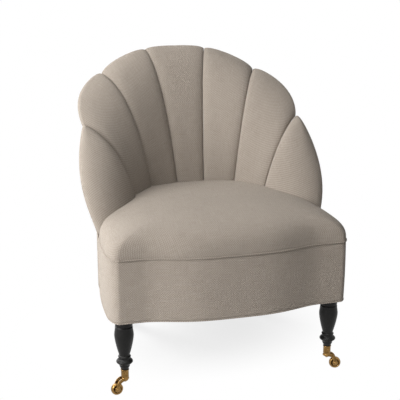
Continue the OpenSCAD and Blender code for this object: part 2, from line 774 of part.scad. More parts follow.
// Horn-shaped arm: it leaves the boss level, curves over and drops to the axle
horn = [[0, boss_top - 4.5], [trail * 0.95, boss_top - 2], [trail, axle_z]];
function horn_w(t) = lerp(4.4, 5.4, t);
function horn_side(t) = let (d = unit(bez_slope(horn, t))) [-d[1], d[0]];
horn_ts = [for (i = [0:12]) i / 12];

module caster_fork(s) {
    color(BRASS)
        at_caster(s)
            difference() {
                union() {
                    translate([0, 0, boss_bottom])
                        cylinder(r = boss_r, h = boss_top - boss_bottom);
                    for (side = [-1, 1])
                        translate([0, side * (boss_r - arm_t / 2) + arm_t / 2, 0])
                            rotate([90, 0, 0])
                                linear_extrude(arm_t)
                                    union() {
                                        polygon(concat(
                                            [for (t = horn_ts) bez(horn, t) + horn_side(t) * horn_w(t)],
                                            flip([for (t = horn_ts) bez(horn, t) - horn_side(t) * horn_w(t)])
                                        ));
                                        translate([trail, axle_z])
                                            circle(eye_r);
                                    }
                }
                translate([0, 0, boss_bottom - 1])
                    cylinder(r = pin_d / 2 + run_gap, h = 12);
                translate([trail, -boss_r - 1, axle_z])
                    rotate([-90, 0, 0])
                        cylinder(r = axle_d / 2 + snug, h = 2 * boss_r + 2);
            }
}

module caster_axle(s) {
    nut = 2.2;
    color(BRASS)
        at_caster(s)
            translate([trail, 0, axle_z])
                rotate([-90, 0, 0]) {
                    translate([0, 0, -boss_r - nut])
                        cylinder(d = axle_d, h = 2 * (boss_r + nut));
                    translate([0, 0, -boss_r - nut])
                        cylinder(r1 = axle_d / 2 + 0.6, r2 = axle_d / 2 + 1.6, h = nut - 0.05);
                    translate([0, 0, boss_r + 0.05])
                        cylinder(r1 = axle_d / 2 + 1.6, r2 = axle_d / 2 + 0.6, h = nut - 0.05);
                }
}

// Wheel: a rounded tread, with a shallow dish turned in each face
module caster_wheel(s) {
    r = wheel_d / 2;
    h = wheel_w / 2;
    edge = 2.5;
    color(BRASS)
        at_caster(s)
            translate([trail, 0, axle_z])
                rotate([-90, 0, 0])
                    rotate_extrude($fn = 72)
                        polygon(concat(
                            [[axle_d / 2 + run_gap, -h], [axle_d / 2 + 3, -h], [axle_d / 2 + 3.6, -h + 2]],
                            [[r - edge - 2.6, -h + 2], [r - edge - 2, -h]],
                            [for (i = [0:8]) let (a = -90 + 180 * i / 8) [r - edge + edge * cos(a), h * sin(a)]],
                            [[r - edge - 2, h], [r - edge - 2.6, h - 2]],
                            [[axle_d / 2 + 3.6, h - 2], [axle_d / 2 + 3, h], [axle_d / 2 + run_gap, h]]
                        ));
}

module channel_1() { channel(0); }
module channel_2() { channel(1); }
module channel_3() { channel(2); }
module channel_4() { channel(3); }
module channel_5() { channel(4); }
module channel_6() { channel(5); }
module channel_7() { channel(6); }

front_rail();
side_rails();
back_rail();
front_posts();
leg_blocks();
seat_springs();
spring_clips();
deck_cloth();
seat_foam();
seat_cover();
seat_welt();
apron_padding();
apron_band();
bottom_piping();
dust_cover();
inner_back_shell();
back_ribs();
outside_back();
channel_1();
channel_2();
channel_3();
channel_4();
channel_5();
channel_6();
channel_7();
wing_pads();
front_leg(-1);  // front_leg_left
front_leg(1);  // front_leg_right
rear_leg(-1);  // rear_leg_left
rear_leg(1);  // rear_leg_right
hanger_bolts();
rear_glides();
caster_cup(-1);  // caster_cup_left
caster_cup(1);  // caster_cup_right
cup_screws(-1);  // cup_screws_left
cup_screws(1);  // cup_screws_right
caster_fork(-1);  // caster_fork_left
caster_fork(1);  // caster_fork_right
caster_axle(-1);  // caster_axle_left
caster_axle(1);  // caster_axle_right
caster_wheel(-1);  // caster_wheel_left
caster_wheel(1);  // caster_wheel_right
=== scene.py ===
# %% [markdown]
# # A slipper chair with a channelled shell back
# The chair's frame, joints and sizes come from its engineering model. This
# lesson dresses that model: it makes the padded fabric, the turned legs and the
# brass casters as fine surfaces, gives every part its finish, and lights the
# chair as a studio photographer would. Every length is in metres.

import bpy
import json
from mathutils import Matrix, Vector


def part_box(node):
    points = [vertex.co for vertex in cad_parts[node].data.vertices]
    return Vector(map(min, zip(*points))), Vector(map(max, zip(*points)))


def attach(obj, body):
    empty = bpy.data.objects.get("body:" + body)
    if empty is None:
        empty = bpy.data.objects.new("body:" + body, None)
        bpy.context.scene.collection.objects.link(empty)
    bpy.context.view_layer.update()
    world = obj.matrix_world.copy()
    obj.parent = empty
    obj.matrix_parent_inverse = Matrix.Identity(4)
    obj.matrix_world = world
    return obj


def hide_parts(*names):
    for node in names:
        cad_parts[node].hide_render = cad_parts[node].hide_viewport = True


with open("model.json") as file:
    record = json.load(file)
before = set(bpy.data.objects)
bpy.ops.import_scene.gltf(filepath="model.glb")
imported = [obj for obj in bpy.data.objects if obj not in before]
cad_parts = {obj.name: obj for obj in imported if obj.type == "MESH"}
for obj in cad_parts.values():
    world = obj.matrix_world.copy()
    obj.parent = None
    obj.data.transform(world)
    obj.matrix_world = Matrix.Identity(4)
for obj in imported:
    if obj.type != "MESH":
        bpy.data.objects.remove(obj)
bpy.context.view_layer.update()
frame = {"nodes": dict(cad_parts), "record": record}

import json
import math

import bpy
import numpy as np
from mathutils import Matrix, Vector

scene = bpy.context.scene
SIDES = ((-1, "left"), (1, "right"))

# %% [markdown]
# ## The camera
# The chair was photographed from its right-hand side, fifteen degrees round and
# fifteen degrees above level. A camera can be aimed with a constraint, but a
# plain matrix of its three axes is exact and says where it looks.

# %% Place the camera
EYE = Vector((-0.62585, -2.31081, 1.06773))
LOOK = Vector((0.2508, 0.9326, -0.2596)).normalized()
RIGHT = LOOK.cross(Vector((0, 0, 1))).normalized()
SENSOR, FOCAL_SHARE = 36, 870.693 / 400
LENS = SENSOR * FOCAL_SHARE

camera = bpy.data.objects.new("camera", bpy.data.cameras.new("camera"))
camera.data.sensor_width, camera.data.lens = SENSOR, LENS
camera.matrix_world = Matrix.Translation(EYE) @ Matrix((RIGHT, RIGHT.cross(LOOK), -LOOK)).transposed().to_4x4()
scene.collection.objects.link(camera)
scene.camera = camera
print("lens %.1f mm, %.2f m from the chair" % (LENS, (EYE - Vector((0, 0, 0.42))).length))

# %% [markdown]
# ## Turning arrays into meshes
# Every new piece is a skin over a grid of points. Blender can build such a skin
# vertex by vertex, but whole numpy arrays are faster and keep the formula in
# sight. The skin also gets a flat pattern of the cloth in metres, so that the
# weave has one scale all over the chair.

# %% Helpers for grids
def lerp(a, b, t):
    """The point that is a share t of the way from a to b."""
    return a + (b - a) * t


def unit(v):
    """The vectors v, each divided by its own length."""
    return v / np.maximum(np.linalg.norm(v, axis=-1, keepdims=True), 1e-12)


def run_length(points):
    """Distance walked along a line of points, starting from 0."""
    return np.concatenate([[0.0], np.cumsum(np.linalg.norm(np.diff(points, axis=0), axis=1))])


def evenly(points, count):
    """The same line, with count points an equal walk apart."""
    walked = run_length(points)
    marks = np.linspace(0, walked[-1], count)
    return np.stack([np.interp(marks, walked, points[:, k]) for k in range(points.shape[1])], -1)


def grid_quads(rows, columns, wrap_rows=False, wrap_columns=False):
    """Corner numbers of the quads between neighbouring grid places, and the same corners before wrapping."""
    r = np.arange(rows if wrap_rows else rows - 1)[:, None]
    c = np.arange(columns if wrap_columns else columns - 1)[None, :]
    corners = [(r, c), (r, c + 1), (r + 1, c + 1), (r + 1, c)]
    wrapped = np.stack([(a % rows) * columns + b % columns for a, b in corners], -1)
    flat = np.stack([a * (columns + 1) + b for a, b in corners], -1)
    return wrapped.reshape(-1, 4), flat.reshape(-1, 4)


# %% Helper for a piece
def make_piece(name, points, faces, finish, uv, body="chair", stands_for=(), slot=None):
    """A mesh object from points and faces, turned right side out, with its finish and its cloth pattern."""
    points = np.asarray(points, float)
    mesh = bpy.data.meshes.new(name)
    mesh.from_pydata(points.tolist(), [], [list(map(int, f)) for f in faces])
    mesh.validate()
    mesh.uv_layers.new(name="cloth").data.foreach_set("uv", np.asarray(uv, np.float32).ravel())
    mesh.polygons.foreach_set("use_smooth", np.full(len(mesh.polygons), True))
    piece = bpy.data.objects.new(name, mesh)
    scene.collection.objects.link(piece)
    if signed_volume(mesh) < 0:
        mesh.flip_normals()
    mesh.materials.append(finish)
    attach(piece, body)
    if stands_for:
        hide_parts(*stands_for)
    return piece


def corner_array(mesh):
    """The mesh's points as one array."""
    flat = np.zeros(len(mesh.vertices) * 3)
    mesh.vertices.foreach_get("co", flat)
    return flat.reshape(-1, 3)


def signed_volume(mesh):
    """Sum over the faces of a sixth of corner . (corner x corner): negative where a shell is inside out."""
    mesh.calc_loop_triangles()
    tri = np.zeros(len(mesh.loop_triangles) * 3, int)
    mesh.loop_triangles.foreach_get("vertices", tri)
    a, b, c = corner_array(mesh)[tri.reshape(-1, 3)].transpose(1, 0, 2)
    return float(np.einsum("ij,ij->i", a, np.cross(b, c)).sum() / 6)


# %% Skin over rings
def ring_skin(name, rings, finish, uv=None, loop=False, sheet=None, **words):
    """A closed skin: each row of rings is a closed loop of points. A fan round a middle point closes each end; a
    sheet, whose loops go along its face, round an edge of so many points and back behind, is closed by quads
    between its face and its back."""
    rows, columns = rings.shape[:2]
    quads, flat = grid_quads(rows, columns, wrap_rows=loop, wrap_columns=True)
    points = rings.reshape(-1, 3)
    if uv is None:
        around = np.linalg.norm(rings - np.roll(rings, -1, 1), axis=2).mean(0)
        along = np.linalg.norm(np.diff(rings, axis=0), axis=2).mean(1)
        u = np.concatenate([[0], np.cumsum(around)])
        v = np.concatenate([[0], np.cumsum(along), [along.sum() + along.mean()]])[: rows + 1]
        uv = np.stack(np.broadcast_arrays(u[None, :], v[:, None]), -1)
    faces, corners = quads.tolist(), [uv.reshape(-1, 2)[flat].reshape(-1, 2)]
    for row, way in () if loop else ((0, -1), (rows - 1, 1)):
        if sheet is None:
            tip, k = len(points), np.arange(columns)
            points = np.concatenate([points, rings[row].mean(0, keepdims=True)])
            fan = np.stack([np.full(columns, tip), row * columns + k, row * columns + (k + 1) % columns], -1)[:, ::way]
            middle = np.broadcast_to(uv[row].mean(0), (columns, 2))
            faces += fan.tolist()
            corners.append(np.stack([middle, uv[row, k], uv[row, k + 1]], 1)[:, ::way].reshape(-1, 2))
            continue
        face, edge = sheet
        k = np.arange(face - 1)
        other = 2 * face - 1 + edge - k
        faces += (row * columns + np.stack([k, k + 1, other - 1, other], -1)[:, ::way]).tolist()
        gap = np.linalg.norm(rings[row, k] - rings[row, other], axis=1)[:, None] * [0, way]
        quad = np.stack([uv[row, k], uv[row, k + 1], uv[row, k + 1] + gap, uv[row, k] + gap], 1)
        corners.append(quad[:, ::way].reshape(-1, 2))
        for start in (face - 1, 2 * face - 1 + edge) if edge else ():
            side = np.arange(start, start + edge + 2)[::way]
            faces.append((row * columns + side % columns).tolist())
            corners.append(uv[row, side])
    return make_piece(name, points, faces, finish, np.concatenate(corners), **words)


def lathe(profile, centre, turns=64, axis=(0, 0, 1)):
    """Rings of a turned shape: each (radius, height) of the profile goes round the axis through centre."""
    axis = unit(np.array(axis, float))
    side = unit(np.cross(axis, [0.3, 1, 0.2]))
    other = np.cross(axis, side)
    angle = np.linspace(0, 2 * math.pi, turns, endpoint=False)
    out = np.cos(angle)[:, None] * side + np.sin(angle)[:, None] * other
    profile = np.asarray(profile, float)
    return np.asarray(centre) + profile[:, 0, None, None] * out + profile[:, 1, None, None] * axis


def rounded_line(points, radius, steps=5):
    """A line of corners, each inner one replaced by a short curve from radius before it to radius after."""
    points = np.asarray(points, float)
    done = [points[:1]]
    t = np.linspace(0, 1, steps)[:, None]
    for before, corner, after in zip(points[:-2], points[1:-1], points[2:]):
        a = corner + unit(before - corner) * min(radius, 0.45 * np.linalg.norm(before - corner))
        b = corner + unit(after - corner) * min(radius, 0.45 * np.linalg.norm(after - corner))
        done.append((1 - t) ** 2 * a + 2 * t * (1 - t) * corner + t * t * b)
    return np.concatenate(done + [points[-1:]])


def swept(path, section, across, up):
    """Rings of a section carried along a path; a section point is (across, up) in the path point's directions."""
    return path[:, None] + section[..., 0, None] * across[:, None] + section[..., 1, None] * up[:, None]


def soft_square(half_a, half_b, power=4.0, count=32):
    """A closed outline between an ellipse (power 2) and a rectangle (high power)."""
    angle = np.linspace(0, 2 * math.pi, count, endpoint=False)
    c, s = np.cos(angle), np.sin(angle)
    return np.stack([half_a * np.sign(c) * abs(c) ** (2 / power), half_b * np.sign(s) * abs(s) ** (2 / power)], -1)


print("helpers ready")

# %% [markdown]
# ## Finishes
# A finish in Blender is a small graph of nodes. The fabric is the one that
# counts here: a fine bird's-eye weave in two close tones of taupe yarn. A
# photograph of cloth could be wrapped on, but a woven formula has no edges and
# stays sharp at any distance.

# %% Helpers for node graphs
class Graph:
    """The node graph of a material or a world, with short calls for the nodes used here."""

    def __init__(self, owner):
        self.owner = owner
        owner.use_nodes = True
        self.nodes, self.links = owner.node_tree.nodes, owner.node_tree.links

    def add(self, kind, values=(), **settings):
        node = self.nodes.new(kind)
        for key, value in settings.items():
            setattr(node, key, value)
        for key, value in dict(values).items():
            if isinstance(value, bpy.types.NodeSocket):
                self.links.new(value, node.inputs[key])
            else:
                node.inputs[key].default_value = value
        return node

    def math(self, operation, a, b=0.0, c=0.0):
        return self.add("ShaderNodeMath", {0: a, 1: b, 2: c}, operation=operation).outputs[0]

    def place(self, source, scale):
        return self.add("ShaderNodeMapping", {"Vector": source, "Scale": scale}).outputs[0]

    def on_object(self):
        return self.add("ShaderNodeTexCoord").outputs["Object"]

    def noise(self, vector, scale, detail=4.0, roughness=0.55):
        return self.add("ShaderNodeTexNoise", {"Vector": vector, "Scale": scale, "Detail": detail,
                                               "Roughness": roughness}).outputs["Fac"]

    def ramp(self, value, *stops):
        node = self.add("ShaderNodeValToRGB", {"Fac": value})
        while len(node.color_ramp.elements) < len(stops):
            node.color_ramp.elements.new(0.5)
        for element, (position, colour) in zip(node.color_ramp.elements, stops):
            element.position, element.color = position, (*colour, 1)
        return node.outputs["Color"]

    def mix(self, share, a, b):
        node = self.add("ShaderNodeMix", data_type="RGBA")
        for socket, value in ((node.inputs[0], share), (node.inputs[6], a), (node.inputs[7], b)):
            if isinstance(value, bpy.types.NodeSocket):
                self.links.new(value, socket)
            else:
                socket.default_value = value if isinstance(value, float) else (*value, 1)
        return node.outputs[2]

    def bump(self, height, distance, strength):
        return self.add("ShaderNodeBump", {"Height": height, "Distance": distance, "Strength": strength}).outputs[0]

    def finish(self, colour, roughness, normal, **plain):
        surface = self.nodes["Principled BSDF"].inputs
        for key, value in (("Base Color", colour), ("Roughness", roughness), ("Normal", normal)):
            if isinstance(value, bpy.types.NodeSocket):
                self.links.new(value, surface[key])
            else:
                surface[key].default_value = value
        for key, value in plain.items():
            surface[key.replace("_", " ")].default_value = value
        return self.owner

    def seen_directly(self):
        """1 for rays from the camera, a reflection or a clear surface, 0 for the rays that only carry light."""
        path = self.add("ShaderNodeLightPath").outputs
        return self.math("MAXIMUM", path["Is Camera Ray"],
                         self.math("MAXIMUM", path["Is Glossy Ray"], path["Is Transmission Ray"]))


def material(name):
    """A new material's graph."""
    return Graph(bpy.data.materials.new(name))


def shade(red, green, blue):
    """A colour written as on a screen, 0 to 255, as the linear light that Blender counts in."""
    c = np.array([red, green, blue]) / 255
    return tuple(np.where(c <= 0.04045, c / 12.92, ((c + 0.055) / 1.055) ** 2.4).tolist())


# %% The taupe weave
def woven(name, light, dark, eye=0.0060, thread=0.0015):
    """Weave from two lattices of sin(u) * sin(v), one for the bird's-eye and a finer one for the threads; noise
    stretched along the weft and the warp gives each yarn its slubs."""
    g = material(name)
    place = g.add("ShaderNodeUVMap", uv_map="cloth").outputs[0]
    wobble = g.noise(g.place(place, (30, 30, 1)), 1.0, 2.0)
    split = g.add("ShaderNodeSeparateXYZ", {0: place}).outputs

    def weighed(*terms):
        total = 0.0
        for value, share in terms:
            total = g.math("MULTIPLY_ADD", value, share, total)
        return total

    def lattice(pitch, drift):
        drifting = g.math("MULTIPLY", wobble, drift)
        waves = [g.math("SINE", g.math("MULTIPLY_ADD", split[k], 2 * math.pi / pitch, drifting)) for k in (0, 1)]
        return g.math("MULTIPLY", *waves)

    eyes, threads = lattice(eye, 2.0), lattice(thread, 5.0)
    slubs = g.math("ADD", *[g.noise(g.place(place, way), 1.0, 3.0) for way in ((25, 900, 1), (900, 25, 1))])
    tone = g.math("SUBTRACT", weighed((slubs, 0.80), (threads, 0.16), (eyes, 0.40)), 0.30)
    colour = g.mix(tone, dark, light)
    cloudy = g.noise(g.place(place, (9, 9, 1)), 1.0, 3.0)
    colour = g.mix(g.math("MULTIPLY", cloudy, 0.16), colour, tuple(0.78 * x for x in dark))
    height = weighed((slubs, 1.6), (threads, 0.8), (eyes, 0.6))
    rough = g.math("MULTIPLY_ADD", slubs, 0.10, 0.78)
    return g.finish(colour, rough, g.bump(height, 0.00030, 1.0), Sheen_Weight=0.18, Sheen_Roughness=0.55,
                    Sheen_Tint=(0.86, 0.82, 0.76, 1), Specular_IOR_Level=0.25)


FABRIC = woven("taupe_weave", shade(184, 173, 161), shade(132, 121, 110))
THREAD = woven("sewing_thread", shade(178, 168, 155), shade(140, 130, 118), eye=0.002, thread=0.0008)
print("fabric finishes made")


# %% [markdown]
# The legs are hardwood under a near-black satin lacquer: the grain hardly shows,
# but it breaks up the highlight, and the sharp rings have worn to brown.

# %% Lacquer and brass
def lacquered(name):
    """Near-black lacquer: grain from noise stretched along the leg, edges worn where it is sharply convex."""
    g = material(name)
    place = g.on_object()
    grain = g.noise(g.place(place, (420, 420, 14)), 1.0, 6.0, 0.6)
    pores = g.noise(g.place(place, (1500, 1500, 60)), 1.0, 2.0)
    patchy = g.noise(place, 34.0, 3.0)
    edge = g.ramp(g.add("ShaderNodeNewGeometry").outputs["Pointiness"], (0.52, (0, 0, 0)), (0.60, (1, 1, 1)))
    worn = g.math("MULTIPLY", edge, g.math("MULTIPLY", patchy, 0.55))
    colour = g.mix(grain, shade(12, 12, 11), shade(23, 22, 21))
    colour = g.mix(worn, colour, shade(72, 62, 52))
    rough = g.math("MULTIPLY_ADD", patchy, 0.16, g.math("MULTIPLY_ADD", pores, 0.08, 0.30))
    height = g.math("MULTIPLY_ADD", pores, 0.4, grain)
    return g.finish(colour, rough, g.bump(height, 0.00012, 0.6), Specular_IOR_Level=0.2)


def aged_brass(name):
    """Brass with brown patina where noise is low and in hollows, bright where hands and floors have rubbed it."""
    g = material(name)
    place = g.on_object()
    spots = g.noise(place, 260.0, 5.0, 0.6)
    broad = g.noise(place, 70.0, 3.0)
    rubbed = g.ramp(g.add("ShaderNodeNewGeometry").outputs["Pointiness"], (0.46, (0, 0, 0)), (0.56, (1, 1, 1)))
    clean = g.math("MULTIPLY_ADD", rubbed, 0.35, g.math("MULTIPLY_ADD", spots, 0.5, g.math("MULTIPLY", broad, 0.4)))
    patina = g.ramp(clean, (0.40, (0, 0, 0)), (0.72, (1, 1, 1)))
    colour = g.mix(patina, shade(56, 38, 18), shade(150, 117, 69))
    rough = g.math("MULTIPLY_ADD", spots, 0.18, 0.16)
    lines = g.noise(g.place(place, (300, 300, 2600)), 1.0, 2.0)
    height = g.math("MULTIPLY_ADD", lines, 0.5, spots)
    return g.finish(colour, rough, g.bump(height, 0.00004, 0.6), Metallic=1.0)


LACQUER, BRASS = lacquered("black_lacquer"), aged_brass("aged_brass")

# %% [markdown]
# Under the seat are plain materials: raw hardwood, zinc-plated wire and a thin
# black felted lining. They are seldom seen, but whoever turns the chair over
# should find them right.

# %% Wood, steel and lining
def raw_wood(name):
    """Hardwood: rings of a stretched wave, pores of stretched noise."""
    g = material(name)
    place = g.on_object()
    wave = g.add("ShaderNodeTexWave", {"Vector": g.place(place, (6, 60, 60)), "Scale": 1.0, "Distortion": 9.0,
                                       "Detail": 4.0, "Detail Scale": 1.4}).outputs["Fac"]
    pores = g.noise(g.place(place, (60, 1400, 1400)), 1.0, 3.0)
    colour = g.mix(wave, shade(176, 138, 92), shade(208, 174, 128))
    colour = g.mix(g.math("MULTIPLY", pores, 0.45), colour, shade(132, 96, 60))
    return g.finish(colour, 0.62, g.bump(g.math("ADD", wave, pores), 0.0002, 0.5))


def zinc(name):
    """Plated steel: cloudy patches of colour and roughness, from noise."""
    g = material(name)
    place = g.on_object()
    cloud = g.noise(place, 150.0, 4.0)
    colour = g.mix(cloud, shade(150, 152, 155), shade(196, 198, 200))
    return g.finish(colour, g.math("MULTIPLY_ADD", cloud, 0.25, 0.28), g.bump(cloud, 0.00003, 0.5), Metallic=1.0)


def felted(name, light, dark):
    """Non-woven cloth: fine fibres as short noise over patches of a broader one."""
    g = material(name)
    place = g.on_object()
    fibres = g.noise(place, 900.0, 5.0, 0.7)
    patches = g.noise(place, 60.0, 3.0)
    colour = g.mix(fibres, dark, light)
    return g.finish(colour, g.math("MULTIPLY_ADD", patches, 0.1, 0.85), g.bump(fibres, 0.0003, 0.7), Sheen_Weight=0.1)


WOOD, STEEL = raw_wood("raw_hardwood"), zinc("zinc_steel")
LINING = felted("black_lining", shade(52, 52, 54), shade(22, 22, 24))
print("finishes made:", len(bpy.data.materials))

# %% [markdown]
# ## The shell back's geometry
# The back is a fan of eight seams. Each seam is a curve with three control
# points: its foot on the seat, its knee, and its end on the rim. A place on the
# back is a pair of numbers: v counts the seams from the left tip to the right
# one, and t goes from the foot to the rim. Sculpting could give such a form, but
# seams that are curves keep the channels exactly where the makers cut them.

# %% Seams and the surface between them
HALF = np.array([
    [(37, 106, 380), (58, 224, 774), (92, 313, 819)], [(118, 90, 380), (163, 114, 725), (234, 261, 756)],
    [(179, 9, 380), (221, 4, 594), (311, 91, 633)], [(185, -45, 380), (262, -114, 394), (296, -121, 386)],
]) / 1000
SEAMS = np.concatenate([HALF[::-1] * [-1, 1, 1], HALF])
LOBES = np.array([[-11.5, -7.5, 33], [-20, 10, 15], [-8, 4, 6], [0, 4, 3.5], [8, 4, 6], [20, 10, 15],
                  [11.5, -7.5, 33]]) / 1000
SAG = np.array([0, -11, 0, 0, 0, 11, 0]) / 1000
WING_TURN = np.array([20.8, 12, -12.8]) / 1000
KNEE_SHARE, CREST_POWER, FLATNESS = 0.5, 0.65, 5
PAD, WING_THIN, PUFF, PUFF_LOW, PUFF_FADE = 0.040, 0.60, 0.070, 0.6, 0.25
NOSE_SEAM, NOSE_MID, WING_NOSE_TOP, WING_NOSE_LOW = 0.011, 0.022, 0.0130, 0.0442
CREASE, WING_CREASE = 0.0008, 1.8
WELT_Z, HEM_Z = 0.373, 0.210


def bezier(points, t):
    """Point at t of a curve through two ends, drawn towards one control point; points holds (..., 3 controls, xyz)."""
    t = t[..., None]
    return (1 - t) ** 2 * points[..., 0, :] + 2 * t * (1 - t) * points[..., 1, :] + t * t * points[..., 2, :]


def slope(points, t):
    """Direction of that curve at t."""
    t = t[..., None]
    return 2 * ((1 - t) * (points[..., 1, :] - points[..., 0, :]) + t * (points[..., 2, :] - points[..., 1, :]))


def crest(u):
    """Rise of a channel's cross-section: 0 at its seams, 1 at its middle."""
    return np.maximum(0, 1 - (2 * u - 1) ** 2) ** CREST_POWER


def flat_crest(u):
    """Rise of the padding across a channel: steep at its seams and nearly flat between them."""
    return np.sqrt(np.maximum(0, 1 - abs(2 * u - 1) ** FLATNESS))


def channel_of(v):
    """Which channel a place v lies in, 0 to 6."""
    return np.clip(np.floor(v), 0, 6).astype(int)


def wing_share(v):
    """0 on the inner channels, growing evenly to 1 from a wing's seam to its free lower edge."""
    return np.maximum(0, abs(v - 3.5) - 2.5)


def meridian(v):
    """Control points of the curve at v: a mix of its two seams, standing out at the rim by the channel's lobe,
    which can sag towards its lower seam; a wing also turns away backwards at its rim."""
    c = channel_of(v)
    u = (v - c)[..., None, None]
    k = crest(v - c)
    out = LOBES[c] * np.stack([k * k, k, k], -1)
    lower = np.where(v < 3.5, c + 1 - v, v - c)
    out[..., 0] += SAG[c] * k * lower
    rise = np.stack([out * 0, out * KNEE_SHARE, out], -2)
    wing = k * wing_share(v)
    rise[..., 2, :] += WING_TURN * np.stack([wing * np.sign(v - 3.5), wing, wing], -1)
    return lerp(SEAMS[c], SEAMS[c + 1], u) + rise


def seam_normal(i, t):
    """Direction square to the back at seam i: across the two neighbouring seams, and square to its own slope."""
    across = bezier(SEAMS[np.minimum(i + 1, 7)], t) - bezier(SEAMS[np.maximum(i - 1, 0)], t)
    return unit(np.cross(across, slope(SEAMS[i], t)))


def normal(v, t):
    """Direction square to the back at (v, t), mixed from the two seams' own."""
    c, t = channel_of(v), np.clip(t, 0, 1)
    return unit(lerp(seam_normal(c, t), seam_normal(c + 1, t), (v - c)[..., None]))


def width(c, t):
    """Straight distance between a channel's two seams at t."""
    return np.linalg.norm(bezier(SEAMS[c + 1], t) - bezier(SEAMS[c], t), axis=-1)


def puff(v, t):
    """Height of the padding over the line between its seams: a share of the channel's width, most near the seat."""
    c = channel_of(v)
    return PUFF * width(c, t) * flat_crest(v - c) * (1 + PUFF_LOW * (1 - t) ** 2 - PUFF_FADE * t * t)


def depth(v):
    """Thickness behind the seams: even across the back, thin at the wings' lower edges."""
    return PAD * (1 - (1 - WING_THIN) * wing_share(v) ** 1.5)


def crease(i, t):
    """Half the width of the crease at seam i: even, but opening downwards where a wing meets the next channel."""
    opening = WING_CREASE if i in (1, 6) else 0.0
    return CREASE * (1 + opening * (1 - t))


def on_back(v, t, out):
    """The point at (v, t), moved out from the seams' surface by a distance."""
    return bezier(meridian(v), t) + normal(v, t) * np.asarray(out)[..., None]


def extra_nose(v):
    """How much further a wing's roll reaches than the others': nothing at its seam with the next, most below."""
    share = wing_share(v)
    return np.where(share > 0, crest(v - channel_of(v)) * lerp(WING_NOSE_TOP, WING_NOSE_LOW, share), 0)


def rim_t(v):
    """The t at which the roll begins: 1, or earlier on a wing by as much as its roll reaches further."""
    return 1 - extra_nose(v) / np.linalg.norm(slope(meridian(v), np.ones_like(v)), axis=-1)


def roll(v, angle):
    """Half an ellipse over the rim, from the front crown (0 degrees) to the back (180)."""
    t = rim_t(v)
    p, d = puff(v, t), depth(v)
    nose = lerp(NOSE_SEAM, NOSE_MID, crest(v - channel_of(v))) + extra_nose(v)
    a = np.radians(angle)
    centre = on_back(v, t, (p - d) / 2 + (p + d) / 2 * np.cos(a))
    return centre + unit(slope(meridian(v), t)) * (nose * np.sin(a))[..., None]


print("seams:", len(SEAMS), "- widest channel %.0f mm" % (1000 * width(3, np.array(1.0))))

# %% [markdown]
# ## The channels
# Each channel is a long pad: fabric sewn to a backing along both seams, stuffed,
# and rolled over the rim. A loop of points runs across its front, down into one
# crease, back behind it and up out of the other crease; that loop climbs from
# the seat to the rim. The two outer channels are the wings: they turn backwards
# and their roll is broader, since they end in the air. Inflating a flat sheet
# would also give pads, but not seams that meet their neighbours exactly.

# %% Rings of one channel
FREE_SWELL, LAST_ANGLE = 1.10, 89.5


def channel_rings(c, across=26, climb=64, turn=14, wall=5):
    """Loops round the channel from its foot to the top of its roll, their points spaced by a cosine; a wing's free
    edge is rounded by a power of a sine, a sewn edge is flat."""
    i = (1 - np.cos(np.linspace(0, math.pi, across + 1))) / 2
    t = np.concatenate([np.linspace(0, 1, climb), np.ones(turn)])
    angle = np.concatenate([np.zeros(climb), LAST_ANGLE * np.linspace(0, 1, turn + 1)[1:]])
    start, end = crease(c, t) / width(c, t), 1 - crease(c + 1, t) / width(c, t)
    v = c + lerp(start[:, None], end[:, None], i[None, :])
    tt, aa = t[:, None] * rim_t(v), np.broadcast_to(angle[:, None], v.shape)
    rolled = (aa > 0)[..., None]
    front = np.where(rolled, roll(v, aa), on_back(v, tt, puff(v, tt)))
    back = np.where(rolled, roll(v, 180 - aa), on_back(v, tt, -depth(v)))
    k = np.linspace(0, 1, wall + 2)[1:-1][None, :, None]
    loops = [front]
    for edge, start, end, free in ((-1, front, back, c == 6), (0, back, front, c == 0)):
        a, b = start[:, edge][:, None], end[:, edge][:, None]
        away = unit(front[:, edge] - front[:, 1 if edge == 0 else -2])[:, None]
        swell = FREE_SWELL * np.linalg.norm(a - b, axis=-1, keepdims=True) * np.sin(np.pi * k) ** 0.6
        loops.append(lerp(a, b, k) + (away * swell if free else 0))
        if edge == -1:
            loops.append(back[:, ::-1])
    return np.concatenate(loops, 1), (across + 1, wall)


def cloth_pattern(rings, middle):
    """Flat pattern: u is the walk round each loop from its middle front point, v the walk up that middle line."""
    around = np.linalg.norm(rings - np.roll(rings, -1, 1), axis=2)
    u = np.concatenate([np.zeros((len(rings), 1)), np.cumsum(around, 1)], 1)
    u = u - u[:, middle][:, None]
    v = run_length(rings[:, middle])
    uv = np.stack(np.broadcast_arrays(u, v[:, None]), -1)
    return np.concatenate([uv, uv[-1:]], 0)


# %% [markdown]
# ## Stuffing
# On the real back each channel is filled through its open foot until the fabric
# is taut. Sculpting could imitate that, but a cloth simulation with air pressure
# inside finds the taut form by itself. The creases, the foot and the back of
# each pad are held, and the rest moves by less than two millimetres, so that
# the channels keep their lines.

# %% A cloth step with air inside
PRESSURE, MOVE_CAP, FRAMES = 6.0, 0.002, 20


